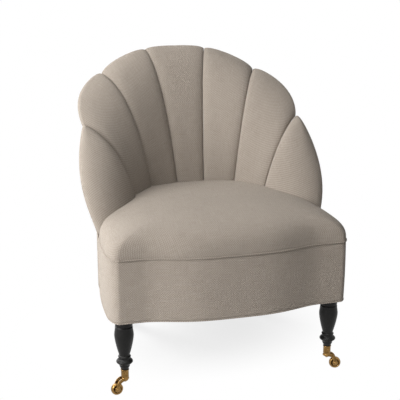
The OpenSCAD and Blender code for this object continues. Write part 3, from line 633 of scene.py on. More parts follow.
def stuffed(piece, free):
    """Blender's cloth with air pressure inside, gravity off and every point held but the free ones. A free point
    that ends d away moves d * cap / (d + cap), so always less than the cap. Returns the longest move."""
    mesh = piece.data
    held = piece.vertex_groups.new(name="held")
    held.add(np.flatnonzero(~free).tolist(), 1.0, "REPLACE")
    cloth = piece.modifiers.new("cloth", "CLOTH")
    rules = cloth.settings
    rules.quality, rules.mass, rules.air_damping = 6, 0.25, 2.0
    rules.tension_stiffness = rules.compression_stiffness = 12.0
    rules.shear_stiffness, rules.bending_stiffness = 6.0, 0.6
    rules.vertex_group_mass, rules.pin_stiffness = "held", 1.0
    rules.use_pressure, rules.uniform_pressure_force = True, PRESSURE
    rules.effector_weights.gravity = 0
    cloth.collision_settings.use_collision = cloth.collision_settings.use_self_collision = False
    cloth.point_cache.frame_start, cloth.point_cache.frame_end = 1, FRAMES
    for frame_number in range(1, FRAMES + 1):
        scene.frame_set(frame_number)
    settled = piece.evaluated_get(bpy.context.evaluated_depsgraph_get())
    before, after = corner_array(mesh), corner_array(settled.data)
    piece.modifiers.remove(cloth)
    piece.vertex_groups.clear()
    scene.frame_set(1)
    far = np.linalg.norm(after - before, axis=1, keepdims=True)
    moved = (after - before) * MOVE_CAP / (far + MOVE_CAP) * free[:, None]
    mesh.vertices.foreach_set("co", (before + moved).ravel())
    mesh.update()
    return float(np.linalg.norm(moved, axis=1).max())


# %% Make the seven channels
channels = []
for c in range(7):
    rings, sheet = channel_rings(c)
    pad = ring_skin("padded_channel_%d" % (c + 1), rings, FABRIC, uv=cloth_pattern(rings, sheet[0] // 2), sheet=sheet,
                    stands_for=["channel_%d" % (c + 1)], slot="taupe_fabric")
    free = np.zeros(rings.shape[:2], bool)
    free[4:-1, 1:sheet[0] - 1] = True
    push = stuffed(pad, free.ravel())
    channels.append(pad)
    print(pad.name, "pushed out by up to %.1f mm" % (1000 * push))
print("channels:", len(channels), "with", len(channels[0].data.polygons), "faces each")

# %% [markdown]
# ## The seat
# The seat is one tight dome of fabric over foam. Its outline is the box's at the
# front and sides, and the line where it meets the channels behind. Level lines
# of the dome go from that outline at the seam to an oval near the crown. The
# fabric is pulled tight over foam that keeps its form, so the dome is a formula
# and isn't stuffed like the channels.

# %% The box's outline
CORNER_X, BACK_X, SIDE_BOW, FRONT_Y, BOW, BOW_HALF = 0.3175, 0.3065, 0.0065, 0.320, 0.034, 0.240
CORNER_WIDE, CORNER_LONG, SIDE_END, BACK_Y, BOW_POWER = 0.026, 0.062, -0.057, 0.215, 1.7


def front_line(x, inset=0.0):
    """Front of the box: flat at its ends, bowed out between them like half a cosine wave."""
    return -(FRONT_Y - inset) - BOW * (1 + np.cos(np.pi * np.minimum(1, (abs(x) / BOW_HALF) ** BOW_POWER))) / 2


def side_line(y, inset=0.0):
    """Side of the box: a shallow arc from the front corner to the end of the side panel, a little closer in."""
    t = (y + FRONT_Y) / (SIDE_END + FRONT_Y)
    return lerp(CORNER_X, BACK_X, t) - inset + SIDE_BOW * 4 * t * (1 - t)


def front_outline(inset=0.0, end=SIDE_END, count=420):
    """Plan of the front and sides, from the left side's end round the front to the right side's end, in even
    steps; the corner is a quarter of an oval, longer along the side than along the front."""
    wide, deep = CORNER_WIDE - inset, CORNER_LONG - inset
    turn_y = -(FRONT_Y - inset) + deep
    reach = side_line(turn_y, inset)
    x = (reach - wide) * np.sin(np.radians(np.linspace(-90, 90, 401)))
    a = np.radians(np.linspace(-90, 0, 40)[1:])
    y = np.linspace(turn_y, end, 80)[1:]
    right = np.concatenate([np.stack([reach - wide * (1 - np.cos(a)), turn_y + deep * np.sin(a)], -1),
                            np.stack([side_line(y, inset), y], -1)])
    return evenly(np.concatenate([right[::-1] * [-1, 1], np.stack([x, front_line(x, inset)], -1), right]), count)


def barrel_line(v, inset=0.0):
    """Plan of the back of the box: a quarter of an oval on each side."""
    a = np.radians(abs(v - 3.5) / 3.5 * 90)
    return np.stack([np.sign(v - 3.5) * (BACK_X - inset) * np.sin(a),
                     SIDE_END + (BACK_Y - SIDE_END - inset) * np.cos(a)], -1)


# %% The crown and where it meets the back
CROWN, CROWN_POWER, CROWN_FLAT = 0.090, 3.2, 2.4
CENTRE = np.array([0.0, -0.100])
BACK_REACH, FRONT_REACH, WING_TUCK, WING_CLEAR, TOUCH = 0.333, 0.246, 0.017, 0.007, 0.0008
TIP_Y = -0.138
SEAT_HALF = side_line(TIP_Y)


def crown_z(reach):
    """Height of the dome: full at its centre, falling ever faster towards the seam, where reach is 1."""
    return WELT_Z + CROWN * np.maximum(0, 1 - np.maximum(reach, 0) ** CROWN_FLAT) ** (1 / CROWN_POWER)


def reach_at(p):
    """Reach of a place on the plan behind the centre: the cube root of the sum of its cubed shares of the half
    width and the depth."""
    across = (abs(p[..., 0]) / SEAT_HALF) ** 3
    back = (np.maximum(0, p[..., 1] - CENTRE[1]) / BACK_REACH) ** 3
    return np.minimum(1, (across + back) ** (1 / 3))


def round_off(near, reach):
    """How far a rounded edge stands back: a quarter circle of radius reach, counted from the distance to the edge."""
    return reach * (1 - np.sqrt(1 - np.clip(1 - near / reach, 0, 1) ** 2))


def on_dome(p, edge, lip):
    """Places of the plan lifted on to the dome, which drops by a quarter circle of radius lip beside its edge."""
    drop = round_off(np.linalg.norm(edge - p, axis=-1), lip)
    return np.concatenate([p, (crown_z(reach_at(p)) - drop)[..., None]], -1)


def beside_back(v, t):
    """The line just in front of the channels that the seat's edge follows; it dips under the wings."""
    wing = np.maximum(0, wing_share(v) - 0.2) * (1 - t * t)
    p = on_back(v, t, puff(v, t) + TOUCH + WING_CLEAR * wing)
    p[..., 2] = np.maximum(p[..., 2] - WING_TUCK * wing, WELT_Z + 0.0031 + 0.003 * t)
    return p


def meeting(v):
    """The t at which that line comes up through the dome, found by halving twenty times."""
    low, high = np.zeros_like(v), np.ones_like(v)
    for _ in range(20):
        t = (low + high) / 2
        p = beside_back(v, t)
        under = p[..., 2] < crown_z(reach_at(p))
        low, high = np.where(under, t, low), np.where(under, high, t)
    return (low + high) / 2


# %% Rings of the seat
FRONT_POINTS, LAST_REACH = 260, 0.012
INWARD_POWER, OVAL_POWER = 0.75, 4
SKIRT = ((WELT_Z - 0.03, 0.014, 0), (WELT_Z - 0.006, 0.014, 0), (WELT_Z + 0.0006, 0.004, 0.4),
         (WELT_Z + 0.0016, 0.0, 0.8))


def seat_rings(levels=46, lip=0.003, bridge=8):
    """Loops from the seat's underside up its edge and over the dome to its centre: ahead along the box, behind
    along the channels with a soft lip, and between the two a few bridging columns whose share of each grows from
    one to the other."""
    front = front_outline(0.0, TIP_Y, FRONT_POINTS)
    v = np.concatenate([c + (1 - np.cos(np.linspace(0, math.pi, 17)[:-1])) / 2 for c in range(7)])
    v = np.append(v, 7.0)[::-1]
    ts = meeting(v)
    top, foot = beside_back(v, ts), beside_back(v, np.zeros_like(v))
    ahead, behind, steps = [], [], []
    for z, inset, share in SKIRT:
        ahead.append(np.column_stack([front_outline(inset, TIP_Y, FRONT_POINTS), np.full(FRONT_POINTS, z)]))
        behind.append(beside_back(v, ts * share) if share else np.column_stack([foot[:, :2], np.full(len(foot), z)]))
    fine = np.linspace(0, 1, 4001)
    walk = run_length(np.column_stack([fine * 0.25, crown_z(fine)]))
    for row, r in enumerate(np.interp(np.linspace(walk[-1], LAST_REACH, levels), walk, fine)):
        q = front - CENTRE
        size = (abs(q[:, :1]) / SEAT_HALF) ** OVAL_POWER + (abs(q[:, 1:]) / FRONT_REACH) ** OVAL_POWER
        oval = q / size ** (1 / OVAL_POWER)
        inward = (1 - row / (levels - 1)) ** INWARD_POWER
        steps.append((r, inward))
        height = crown_z(np.array(r)) + 0.002 * (row == 0)
        ahead.append(np.column_stack([CENTRE + r * lerp(oval, q, r ** 4), np.full(FRONT_POINTS, height)]))
        behind.append(on_dome(CENTRE + inward * (top[:, :2] - CENTRE), top[:, :2], lip))
    ahead, behind = np.stack(ahead), np.stack(behind)
    g = np.linspace(0, 1, bridge + 2)[1:-1]
    joins = []
    for a, b in ((-1, 0), (0, -1)):
        low = lerp(ahead[:4, None, a], behind[:4, None, b], g[None, :, None])
        edge = lerp(front[a], top[b, :2], g[:, None])
        shares = np.array([lerp(*step, g) for step in steps])[..., None]
        high = on_dome(CENTRE + shares * (edge - CENTRE), edge, lip * g)
        joins.append(np.concatenate([low, high]))
    return np.concatenate([ahead, joins[0], behind, joins[1][:, ::-1]], 1)


def dome_pattern(rings):
    """Flat pattern of the dome: the walk from its centre outwards, laid off in each point's own direction."""
    centre = rings[-1].mean(0)
    steps = np.linalg.norm(np.diff(rings[::-1], axis=0), axis=2)
    first = np.linalg.norm(rings[-1] - centre, axis=1)[None]
    walk = np.cumsum(np.concatenate([first, steps]), 0)[::-1]
    way = unit(rings[..., :2] - centre[:2] + 1e-9)
    uv = way * walk[..., None]
    uv = np.concatenate([uv, uv[:, :1]], 1)
    return np.concatenate([uv, uv[-1:]], 0)


# %% Make the seat
rings = seat_rings()
seat = ring_skin("crowned_seat", rings, FABRIC, uv=dome_pattern(rings), stands_for=["seat_cover", "seat_foam"],
                 slot="taupe_fabric")
print("seat rises to %.0f mm" % (1000 * rings[..., 2].max()))

# %% [markdown]
# ## The box
# A padded band of fabric goes round the front and sides, sewn to the seat along
# a flat welt and finished with a thin piped hem. A profile carried along the
# box's outline makes each of them: the band's profile has soft edges, and its
# ends turn in beside the outside back, where the side seam is a dark line.

# %% A profile carried round the box
def outward(plan, closed=False):
    """Directions square to a plan line, pointing out of the box."""
    if closed:
        along = np.roll(plan, -1, 0) - np.roll(plan, 1, 0)
    else:
        along = np.gradient(plan, axis=0)
    return unit(np.stack([along[:, 1], -along[:, 0]], -1))


def carried(name, plan, profile, finish, closed=False, **words):
    """A closed profile of (out, up) points carried along a plan line, with its ends closed."""
    out = outward(plan, closed)
    path = np.column_stack([plan, np.zeros(len(plan))])
    across = np.column_stack([out, np.zeros(len(out))])
    up = np.tile([0.0, 0.0, 1.0], (len(plan), 1))
    return ring_skin(name, swept(path, profile[None], across, up), finish, loop=closed, **words)


def band_profile(low, high, inner=-0.012, swell=0.0012, soft=0.0022, count=22):
    """Outer face from low to high with a slight swell and rounded edges, then the inner face back down."""
    z = lerp(low, high, (1 - np.cos(np.linspace(0, math.pi, count))) / 2)
    near = np.minimum(z - low, high - z)
    out = swell * np.sin(np.pi * (z - low) / (high - low)) - round_off(near, soft)
    back = np.linspace(high - 0.002, low + 0.002, 7)
    return np.concatenate([np.column_stack([out, z]), np.column_stack([np.full(7, inner), back])])


def soft_ended(plan, reach=0.004):
    """The plan line with extra points near its ends, where it turns inwards by a quarter circle of that reach."""
    walked = run_length(plan)
    extra = reach * (1 - np.cos(np.linspace(0, math.pi / 2, 8)[:-1]))
    inside = walked[(walked > reach) & (walked < walked[-1] - reach)]
    marks = np.concatenate([extra, inside, (walked[-1] - extra)[::-1]])
    line = np.stack([np.interp(marks, walked, plan[:, k]) for k in range(2)], -1)
    return line - outward(line) * round_off(np.minimum(marks, walked[-1] - marks), reach)[:, None]


# %% Band, welt and hem
plan = front_outline(0, SIDE_END - 0.0005, 460)
band = carried("padded_band", soft_ended(plan), band_profile(HEM_Z - 0.0006, WELT_Z - 0.0014), FABRIC,
               stands_for=["apron_band", "apron_padding"], slot="taupe_fabric")

bead = soft_square(0.0024, 0.0020, 2.6, 20) + [0.0001, WELT_Z]
carried("flat_welt", plan, bead, FABRIC, stands_for=["seat_welt"], slot="taupe_fabric")
print("round the welt: %.2f m" % run_length(plan)[-1])

plan = np.concatenate([front_outline(0, SIDE_END, 460), barrel_line(np.linspace(7, 0, 261))[1:-1]])
cord = soft_square(0.0019, 0.0021, 2.4, 16) + [-0.0010, HEM_Z - 0.0020]
carried("piped_hem", plan, cord, FABRIC, closed=True, stands_for=["bottom_piping"], slot="taupe_fabric")
print("round the hem: %.2f m" % run_length(plan)[-1])

# %% [markdown]
# ## The outside back
# Behind, one panel of fabric is drawn over the frame from the hem to the rolled
# rim, and sewn down by hand. It goes straight up behind the box and then swells
# out to meet the channels. Under the wings it is drawn in a little, so that the
# forward edges stay close beside them. It is tight over its boards, so a
# formula gives its swell instead of a cloth simulation.

# %% The panel's surface
PANEL_END, PANEL_T, PANEL_SWELL, PANEL_LEAN = 0.12, 0.003, 0.010, 0.040
PANEL_SOFT, PANEL_TURN, PANEL_PROUD, PANEL_DRAWN = 0.040, 0.0055, 0.0012, -0.006
SEWN_ANGLE, LET_IN, LET_IN_DEEP = 128.0, 0.0009, 0.003


def panel_top(w):
    """Upper edge: on the back of the roll, let in under the padding by the panel's thickness."""
    let_in = PANEL_T + LET_IN + LET_IN_DEEP * depth(w) / PAD
    return roll(w, np.full_like(w, SEWN_ANGLE)) - normal(w, rim_t(w)) * let_in[..., None]


def panel(w, h, inset=0.0):
    """A place on the panel: w across as the seams are counted, h from -1 at the hem through 0 at the seat's seam to
    1 at the rim. Above the seam it is a curve with three control points, plus half a sine wave for its swell."""
    along = 7 * (w - PANEL_END) / (7 - 2 * PANEL_END)
    foot, plain = barrel_line(along, inset - PANEL_PROUD), barrel_line(along)
    out = unit(np.stack([plain[..., 0], plain[..., 1] - SIDE_END + PANEL_LEAN, np.zeros_like(w)], -1))
    top = panel_top(w) - out * inset
    low = np.concatenate([foot, np.full((*w.shape, 1), WELT_Z)], -1)
    knee = np.concatenate([foot, lerp(WELT_Z, top[..., 2:], 0.3)], -1)
    k = np.clip(h, 0, 1)
    near = np.minimum(w - PANEL_END, 7 - PANEL_END - w)
    swell = lerp(PANEL_DRAWN, PANEL_SWELL, np.clip(near / 1.2, 0, 1) ** 0.7)
    upper = bezier(np.stack([low, knee, top], -2), k) + out * (swell * np.sin(np.pi * k))[..., None]
    lower = np.concatenate([foot, lerp(HEM_Z + 0.0003, WELT_Z, (1 + np.clip(h, -1, 0)))[..., None]], -1)
    dip = PANEL_TURN / PANEL_SOFT * round_off(near, PANEL_SOFT) * np.clip(1 - 8 * h, 0, 1)
    return np.where((h < 0)[..., None], lower, upper) - out * dip[..., None]


# %% Make the outside back
turn = PANEL_SOFT * (1 - np.cos(np.linspace(0, math.pi / 2, 8)[:-1]))
w = np.concatenate([PANEL_END + turn, np.linspace(0.16, 6.84, 300), (7 - PANEL_END - turn)[::-1]])
h = np.concatenate([np.linspace(-1, -0.02, 16), np.linspace(0, 1, 64)])
W, H = np.meshgrid(w, h, indexing="ij")
outer, inner = panel(W, H), panel(W, H, PANEL_T)
outside = ring_skin("outside_back_cover", np.concatenate([outer, inner[:, ::-1]], 1), FABRIC, sheet=(len(h), 0),
                    stands_for=["outside_back"], slot="taupe_fabric")
print("outside back:", len(outside.data.polygons), "faces")

# %% [markdown]
# Two soft fillers close the box beside the seat, under the wings' lower edges.
# Each is a tapering pad, drawn between the band's top and the wing's roll.

# %% Fillers under the wings
ROLL_ANGLES, LEAST_X = (132.0, 168.0), 0.2


def filler_rings(side, count=40, rise=14, thick=0.010, swell=0.005):
    """Loops from the outside back's forward edge to the wing's tip: out over a face that swells by a power of a
    sine, back down inside it."""
    s = np.linspace(0, 1, count)
    y = lerp(SIDE_END + 0.0015, TIP_Y + 0.0035, s)
    low = np.stack([side_line(y, 0.0004), y, np.full(count, WELT_Z + 0.0020)], -1)
    high = roll(lerp(7 - PANEL_END - 0.02, 6.999, s), lerp(*ROLL_ANGLES, s))
    k = np.linspace(0, 1, rise)[None, :, None]
    out = unit(np.stack([np.ones(count), 0.15 * np.ones(count), np.zeros(count)], -1))[:, None]
    face = lerp(low[:, None], high[:, None], k) + out * swell * np.sin(np.pi * k) ** 0.7
    face[..., 0] = np.maximum(face[..., 0], LEAST_X)
    inner = face[:, ::-1] - out * thick
    return np.concatenate([face, inner], 1) * [side, 1, 1]


fillers = [ring_skin("wing_filler_" + word, filler_rings(side), FABRIC, sheet=(14, 0), slot="taupe_fabric")
           for side, word in SIDES]
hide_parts("wing_pads")
print("fillers made:", len(fillers))

# %% [markdown]
# ## The front legs
# Each front leg is turned on a lathe: a collar under the box, a vase, a neck
# with a small bead, a ring and a tapered end that goes into the caster's cup.
# So it is a profile spun round an axis, with its curves in steps of a cosine.

# %% Turn the front legs
LEG_X = LEG_Y = 0.280
LEG_TOP, CUP_TOP, CUP_LOW, CUP_R = 0.2079, 0.067, 0.045, 0.01025
TURNING = np.array([
    (LEG_TOP, 0.0210), (LEG_TOP - 0.003, 0.0225), (LEG_TOP - 0.018, 0.0225), (LEG_TOP - 0.021, 0.0209),
    (LEG_TOP - 0.024, 0.0228), (LEG_TOP - 0.046, 0.0250), (CUP_TOP + 0.040, 0.0135), (CUP_TOP + 0.036, 0.0165),
    (CUP_TOP + 0.032, 0.0155), (CUP_TOP + 0.022, 0.0215), (CUP_TOP + 0.012, 0.01375), (CUP_TOP, 0.00995),
])


def turned_profile(knots, taper_from=5, taper=1.45, steps=14):
    """Between two knots the radius follows half a cosine wave; below the vase's widest place it follows a power of
    the way down."""
    t = np.arange(steps) / steps
    shares = [t ** taper if k == taper_from else (1 - np.cos(np.pi * t)) / 2 for k in range(len(knots) - 1)]
    height = np.concatenate([lerp(a[0], b[0], t) for a, b in zip(knots[:-1], knots[1:])] + [knots[-1:, 0]])
    radius = np.concatenate([lerp(a[1], b[1], share) for a, b, share in zip(knots[:-1], knots[1:], shares)]
                            + [knots[-1:, 1]])
    return np.column_stack([radius, height])


inside_cup = [(0.0088, CUP_TOP - 0.0004), (0.0087, CUP_LOW + 0.0052)]
profile = np.concatenate([[(0.0080, LEG_TOP)], turned_profile(TURNING), inside_cup])
for side, word in SIDES:
    ring_skin("turned_leg_" + word, lathe(profile, (side * LEG_X, -LEG_Y, 0), 72), LACQUER,
              stands_for=["front_leg_" + word], slot="black_lacquer")
print("front legs: %.0f mm from box to cup" % (1000 * (LEG_TOP - CUP_TOP)))

# %% [markdown]
# ## The back legs
# The back legs are square, tapered and raked. A box would have knife edges;
# a rounded square carried from top to foot has the eased edges of sanded wood.

# %% Shape the back legs
BACK_LEG_X, RAKE, SPLAY, TOP_W, FOOT_W = 0.185, 0.074, 0.015, 0.042, 0.026
BACK_LEG_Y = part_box("rear_glides")[0].y + 0.010 - RAKE


def raked_leg(side):
    """Rounded squares from the top to the foot; the last few at each end shrink to ease the end's edge."""
    s = np.concatenate([[0, 0, 0.004], np.linspace(0.01, 0.985, 18), [0.994, 1.0, 1.0]])
    ease = np.ones_like(s)
    ease[[0, 1, -2, -1]] = [0.80, 0.97, 0.95, 0.75]
    half = lerp(TOP_W, FOOT_W, s) / 2 * ease
    centre = np.column_stack([side * (BACK_LEG_X + SPLAY * s), BACK_LEG_Y + RAKE * s, lerp(LEG_TOP, 0.004, s)])
    outline = soft_square(1.0, 1.0, 12, 48)
    plan = centre[:, None, :2] + outline[None] * half[:, None, None]
    return np.concatenate([plan, np.broadcast_to(centre[:, None, 2:], (*plan.shape[:2], 1))], -1)


GLIDE = rounded_line([(0.0, 0.004), (0.0098, 0.004), (0.0100, 0.0024), (0.0088, 0.0006), (0.0060, 0.0),
                      (0.0, 0.0)], 0.001)
for side, word in SIDES:
    ring_skin("raked_leg_" + word, raked_leg(side), LACQUER, stands_for=["rear_leg_" + word], slot="black_lacquer")
    where = (side * (BACK_LEG_X + SPLAY), BACK_LEG_Y + RAKE, 0)
    ring_skin("nail_glide_" + word, lathe(GLIDE[1:-1], where, 40), STEEL, slot="steel")
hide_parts("rear_glides")
print("back legs rake %.0f mm" % (1000 * RAKE))

# %% [markdown]
# ## The casters
# A brass cup is screwed on the end of each front leg. A pin under it carries
# the fork, whose two horn-shaped arms reach down to the wheel's axle. Each part
# that turns is its own piece, because it moves on its own.

# %% A caster's own directions
YAW, TRAIL, AXLE_Z, WHEEL_R, WHEEL_HALF = math.radians(13), 0.023, 0.016, 0.016, 0.006
ARM_T = 0.0025
BOSS_R, BOSS_LOW, BOSS_TOP = WHEEL_HALF + 0.0006 + ARM_T, 0.035, 0.0447
UP = np.array([0, 0, 1.0])


def caster_frame(side):
    """Swivel point on the floor, the directions along the fork and along the axle, and the axle's middle."""
    centre = np.array([side * LEG_X, -LEG_Y, 0.0])
    along = np.array([side * math.cos(YAW), -math.sin(YAW), 0.0])
    return centre, along, np.array([-along[1], along[0], 0.0]), centre + along * TRAIL + UP * AXLE_Z


def joined(name, parts, finish, **words):
    """One piece from several closed skins, each given as its rings and whether they loop."""
    points, faces, uvs, start = [], [], [], 0
    for rings, loop in parts:
        single = ring_skin(name + "_part", rings, finish, loop=loop)
        mesh = single.data
        points.append(corner_array(mesh))
        faces += [[start + i for i in polygon.vertices] for polygon in mesh.polygons]
        uv = np.zeros(len(mesh.loops) * 2, np.float32)
        mesh.uv_layers[0].data.foreach_get("uv", uv)
        uvs.append(uv.reshape(-1, 2))
        start += len(mesh.vertices)
        bpy.data.objects.remove(single)
        bpy.data.meshes.remove(mesh)
    return make_piece(name, np.concatenate(points), faces, finish, np.concatenate(uvs), **words)


# %% [markdown]
# The cup is pressed brass with a rolled lip, held by two slotted screws. It is a
# profile turned round the leg's axis. Its corners are rounded by short curves,
# because a sharp edge would catch no light.

# %% Cup, pin and screws
CUP = rounded_line([
    (0.0, CUP_LOW), (CUP_R - 0.0004, CUP_LOW), (CUP_R, CUP_LOW + 0.0012), (CUP_R - 0.0002, CUP_LOW + 0.004),
    (CUP_R, CUP_TOP - 0.0030), (CUP_R + 0.0009, CUP_TOP - 0.0018), (CUP_R + 0.0009, CUP_TOP - 0.0004),
    (CUP_R - 0.0002, CUP_TOP - 0.0001), (CUP_R - 0.0012, CUP_TOP - 0.0006), (CUP_R - 0.0013, CUP_LOW + 0.004),
    (0.0, CUP_LOW + 0.004)], 0.0005)
PIN = [(0.0022, 0.0316), (0.0036, 0.0322), (0.0045, 0.0338), (0.0044, 0.0346), (0.0030, 0.0348),
       (0.0030, CUP_LOW + 0.001)]


def screw_rings(side, turn):
    """A domed screw head with a slot: a turned dome, its middle strip pressed in."""
    out = np.array([math.cos(turn), math.sin(turn), 0.0])
    centre = np.array([side * LEG_X, -LEG_Y, CUP_LOW + 0.013]) + out * CUP_R
    head = [(0.0014, -0.0014), (0.0014, 0.0000), (0.0024, 0.0001), (0.0023, 0.0004), (0.0019, 0.0008),
            (0.0012, 0.0010), (0.0006, 0.00105)]
    rings = lathe(head, centre, 24, out)
    slot = (abs((rings - centre) @ UP) < 0.00035) & (((rings - centre) @ out) > 0.0003)
    return rings - slot[..., None] * 0.0004 * out


for side, word in SIDES:
    where = (side * LEG_X, -LEG_Y, 0)
    joined("brass_cup_" + word, [(lathe(CUP[1:-1], where, 64), False), (lathe(PIN, where, 32), False)], BRASS,
           stands_for=["caster_cup_" + word], slot="brass")
    joined("slotted_screws_" + word, [(screw_rings(side, a), False) for a in (math.pi / 2, 1.5 * math.pi)], BRASS,
           stands_for=["cup_screws_" + word], slot="brass")
print("cups: %.1f mm across" % (2000 * CUP_R))

# %% [markdown]
# The fork is one casting: a boss that turns on the pin, two horned arms, and an
# eye round the axle at the end of each. The arms are a rounded strip swept along
# a curve; cutting them from a block would leave flat facets.

# %% Fork
HORN = np.array([[0.0, BOSS_TOP - 0.0045], [TRAIL * 0.95, BOSS_TOP - 0.002], [TRAIL, AXLE_Z]])


def arm_rings(side, hand):
    """A rounded strip carried along the horn's curve, a little wider at the axle than at the boss."""
    centre, along, axle, _ = caster_frame(side)
    t = np.concatenate([[0, 0], np.linspace(0.02, 0.98, 26), [1, 1]])
    ease = np.ones_like(t)
    ease[[0, 1, -2, -1]] = [0.6, 0.9, 0.9, 0.6]
    line, way = bezier(HORN, t), unit(slope(HORN, t))
    path = centre + line[:, :1] * along + line[:, 1:] * UP + axle * hand * (BOSS_R - ARM_T / 2)
    across = -way[:, 1:] * along + way[:, :1] * UP
    grow = np.stack([lerp(0.0044, 0.0054, t) * ease, ease], -1)
    section = soft_square(1.0, ARM_T / 2, 3.0, 28)[None] * grow[:, None]
    return swept(path, section, across, np.tile(axle, (len(t), 1)))


EYE_DISC = [(0.0030, -0.00115), (0.0058, -0.00115), (0.0067, -0.0006), (0.0070, 0.0), (0.0067, 0.0006),
            (0.0058, 0.0012), (0.0044, 0.0015), (0.0030, 0.0015)]
BOSS = [(0.00305, BOSS_LOW), (0.0070, BOSS_LOW + 0.0001), (BOSS_R - 0.0007, BOSS_LOW + 0.0012),
        (BOSS_R, BOSS_LOW + 0.0032), (BOSS_R, BOSS_TOP - 0.0030), (BOSS_R - 0.0008, BOSS_TOP - 0.0008),
        (BOSS_R - 0.0022, BOSS_TOP), (0.00305, BOSS_TOP)]
HEEL_R, HEEL_Z = 0.0040, 0.0398
HEEL = [(0.0001, -HEEL_R), (0.0020, -0.0036), (0.0034, -0.0022), (HEEL_R, 0.0), (0.0034, 0.0022), (0.0020, 0.0036),
        (0.0001, HEEL_R)]


for side, word in SIDES:
    centre, along, axle, hub = caster_frame(side)
    parts = [(arm_rings(side, -1), False), (arm_rings(side, 1), False), (lathe(BOSS, centre, 48), True),
             (lathe(HEEL, centre - along * (BOSS_R - 0.0018) + UP * HEEL_Z, 28, along), False)]
    parts += [(lathe(EYE_DISC, hub + axle * hand * (BOSS_R - ARM_T / 2), 40, axle * hand), True) for hand in (-1, 1)]
    joined("horned_fork_" + word, parts, BRASS, body="swivel_" + word, stands_for=["caster_fork_" + word], slot="brass")
print("forks trail %.0f mm" % (1000 * TRAIL))

# %% [markdown]
# The wheel is turned from solid brass: a rounded tread, a thin web and a hub.
# The axle is a rod with a domed nut at each end. All are profiles spun round the
# axle's line, because that is how they are made.

# %% Wheels and axles
EDGE = 0.0025
tread = np.radians(np.linspace(-90, 90, 15))
half_wheel = [(0.00255, 0.0060), (0.0052, 0.0060), (0.0056, 0.0056), (0.0062, 0.0043), (0.0076, 0.0040),
              (0.0100, 0.0042), (0.0110, 0.0050), (0.0116, 0.0058)]
WHEEL = np.concatenate([[(r, -z) for r, z in half_wheel],
                        np.column_stack([WHEEL_R - EDGE + EDGE * np.cos(tread), WHEEL_HALF * np.sin(tread)]),
                        half_wheel[::-1]])
NUT = [(0.0001, 0.0024), (0.0012, 0.0023), (0.0024, 0.0019), (0.0031, 0.0014), (0.0040, 0.0012),
       (0.0041, 0.0004), (0.0036, 0.0001), (0.0001, 0.0001)]

for side, word in SIDES:
    centre, along, axle, hub = caster_frame(side)
    ring_skin("brass_wheel_" + word, lathe(WHEEL, hub, 72, axle), BRASS, body="wheel_" + word, loop=True,
              stands_for=["caster_wheel_" + word], slot="brass")
    rod = [(0.0025, -BOSS_R - 0.001), (0.0025, BOSS_R + 0.001)]
    parts = [(lathe(rod, hub, 32, axle), False)]
    parts += [(lathe(NUT, hub + axle * hand * (BOSS_R + 0.0003), 32, axle * hand), False) for hand in (-1, 1)]
    joined("riveted_axle_" + word, parts, BRASS, body="swivel_" + word, stands_for=["caster_axle_" + word],
           slot="brass")
print("wheels: %.0f mm across" % (2000 * WHEEL_R))

# %% [markdown]
# ## Stitching
# The band is topstitched just under the welt, and the outside back is sewn down
# by hand under the rim. A stitch is a tiny grain of thread; hundreds of them are
# one mesh, because one grain's points are repeated along the seam in one step.

# %% Sew a row of stitches
GRAIN = lathe([(0.02, -0.5), (0.55, -0.42), (1.0, -0.2), (1.0, 0.2), (0.55, 0.42), (0.02, 0.5)],
              (0, 0, 0), 6, (1, 0, 0))


def stitches(name, line, out, pitch=0.0038, length=0.0030, radius=0.00034, sunk=0.0001):
    """Copies of one grain along a line of points, each turned to the line's direction and half sunk in the cloth."""
    walked = run_length(line)
    marks = np.arange(pitch / 2, walked[-1], pitch)

    def along(values, where):
        return np.stack([np.interp(where, walked, values[:, k]) for k in range(3)], -1)

    at, away = along(line, marks), unit(along(out, marks))
    ahead = unit(along(line, marks + 1e-4) - along(line, marks - 1e-4))
    third = unit(np.cross(ahead, away))
    grain = GRAIN.reshape(-1, 3) * [length, radius, radius]
    turned = np.einsum("gk,nkx->ngx", grain, np.stack([ahead, away, third], 1))
    points = (at - away * sunk)[:, None] + turned
    rows, turns = GRAIN.shape[:2]
    quads = grid_quads(rows, turns, wrap_columns=True)[0]
    ends = [list(range(turns))[::-1], [(rows - 1) * turns + k for k in range(turns)]]
    shift = np.arange(len(marks))[:, None, None] * rows * turns
    faces = (quads[None] + shift).reshape(-1, 4).tolist()
    caps = (np.array(ends)[None] + shift).reshape(-1, turns).tolist()
    count = len(faces) * 4 + len(caps) * turns
    return make_piece(name, points.reshape(-1, 3), faces + caps, THREAD, np.zeros((count, 2)), slot="taupe_fabric")


plan = front_outline(0, SIDE_END - 0.003, 500)
out = np.column_stack([outward(plan), np.zeros(len(plan))])
line = np.column_stack([plan, np.full(len(plan), WELT_Z - 0.0042)]) - out * 0.0001
stitches("stitches_under_welt", line, out)

w = np.linspace(0.3, 6.7, 700)
top = panel(w, np.ones_like(w))
below = panel(w, np.full_like(w, 0.985))
facing = np.cross(np.gradient(top, axis=0), top - below)
facing = facing * np.sign((facing * [1, 1, 0] * (top - [0, -0.1, 0])).sum(1, keepdims=True))
stitches("stitches_rim", lerp(top, below, 0.5), facing, pitch=0.0075, length=0.0034)
print("stitches sewn")

# %% [markdown]
# ## Finishes for what stays as modelled
# The frame, the springs, the bolts and the lining keep the engineering model's
# own shape. They need only a material in their slots.

# %% Give the rest its finish
LOOKS = {"frame_wood": WOOD, "steel": STEEL, "lining": LINING, "taupe_fabric": FABRIC, "black_lacquer": LACQUER,
         "brass": BRASS, "padding": FABRIC}
slots = {part["node"]: part["material_slot"] for part in frame["record"]["subparts"]}
kept = 0
for name, node in frame["nodes"].items():
    if node.hide_render:
        continue
    node.data.materials.clear()
    node.data.materials.append(LOOKS[slots[name]])
    kept += 1
print("sub-parts kept as modelled:", kept)

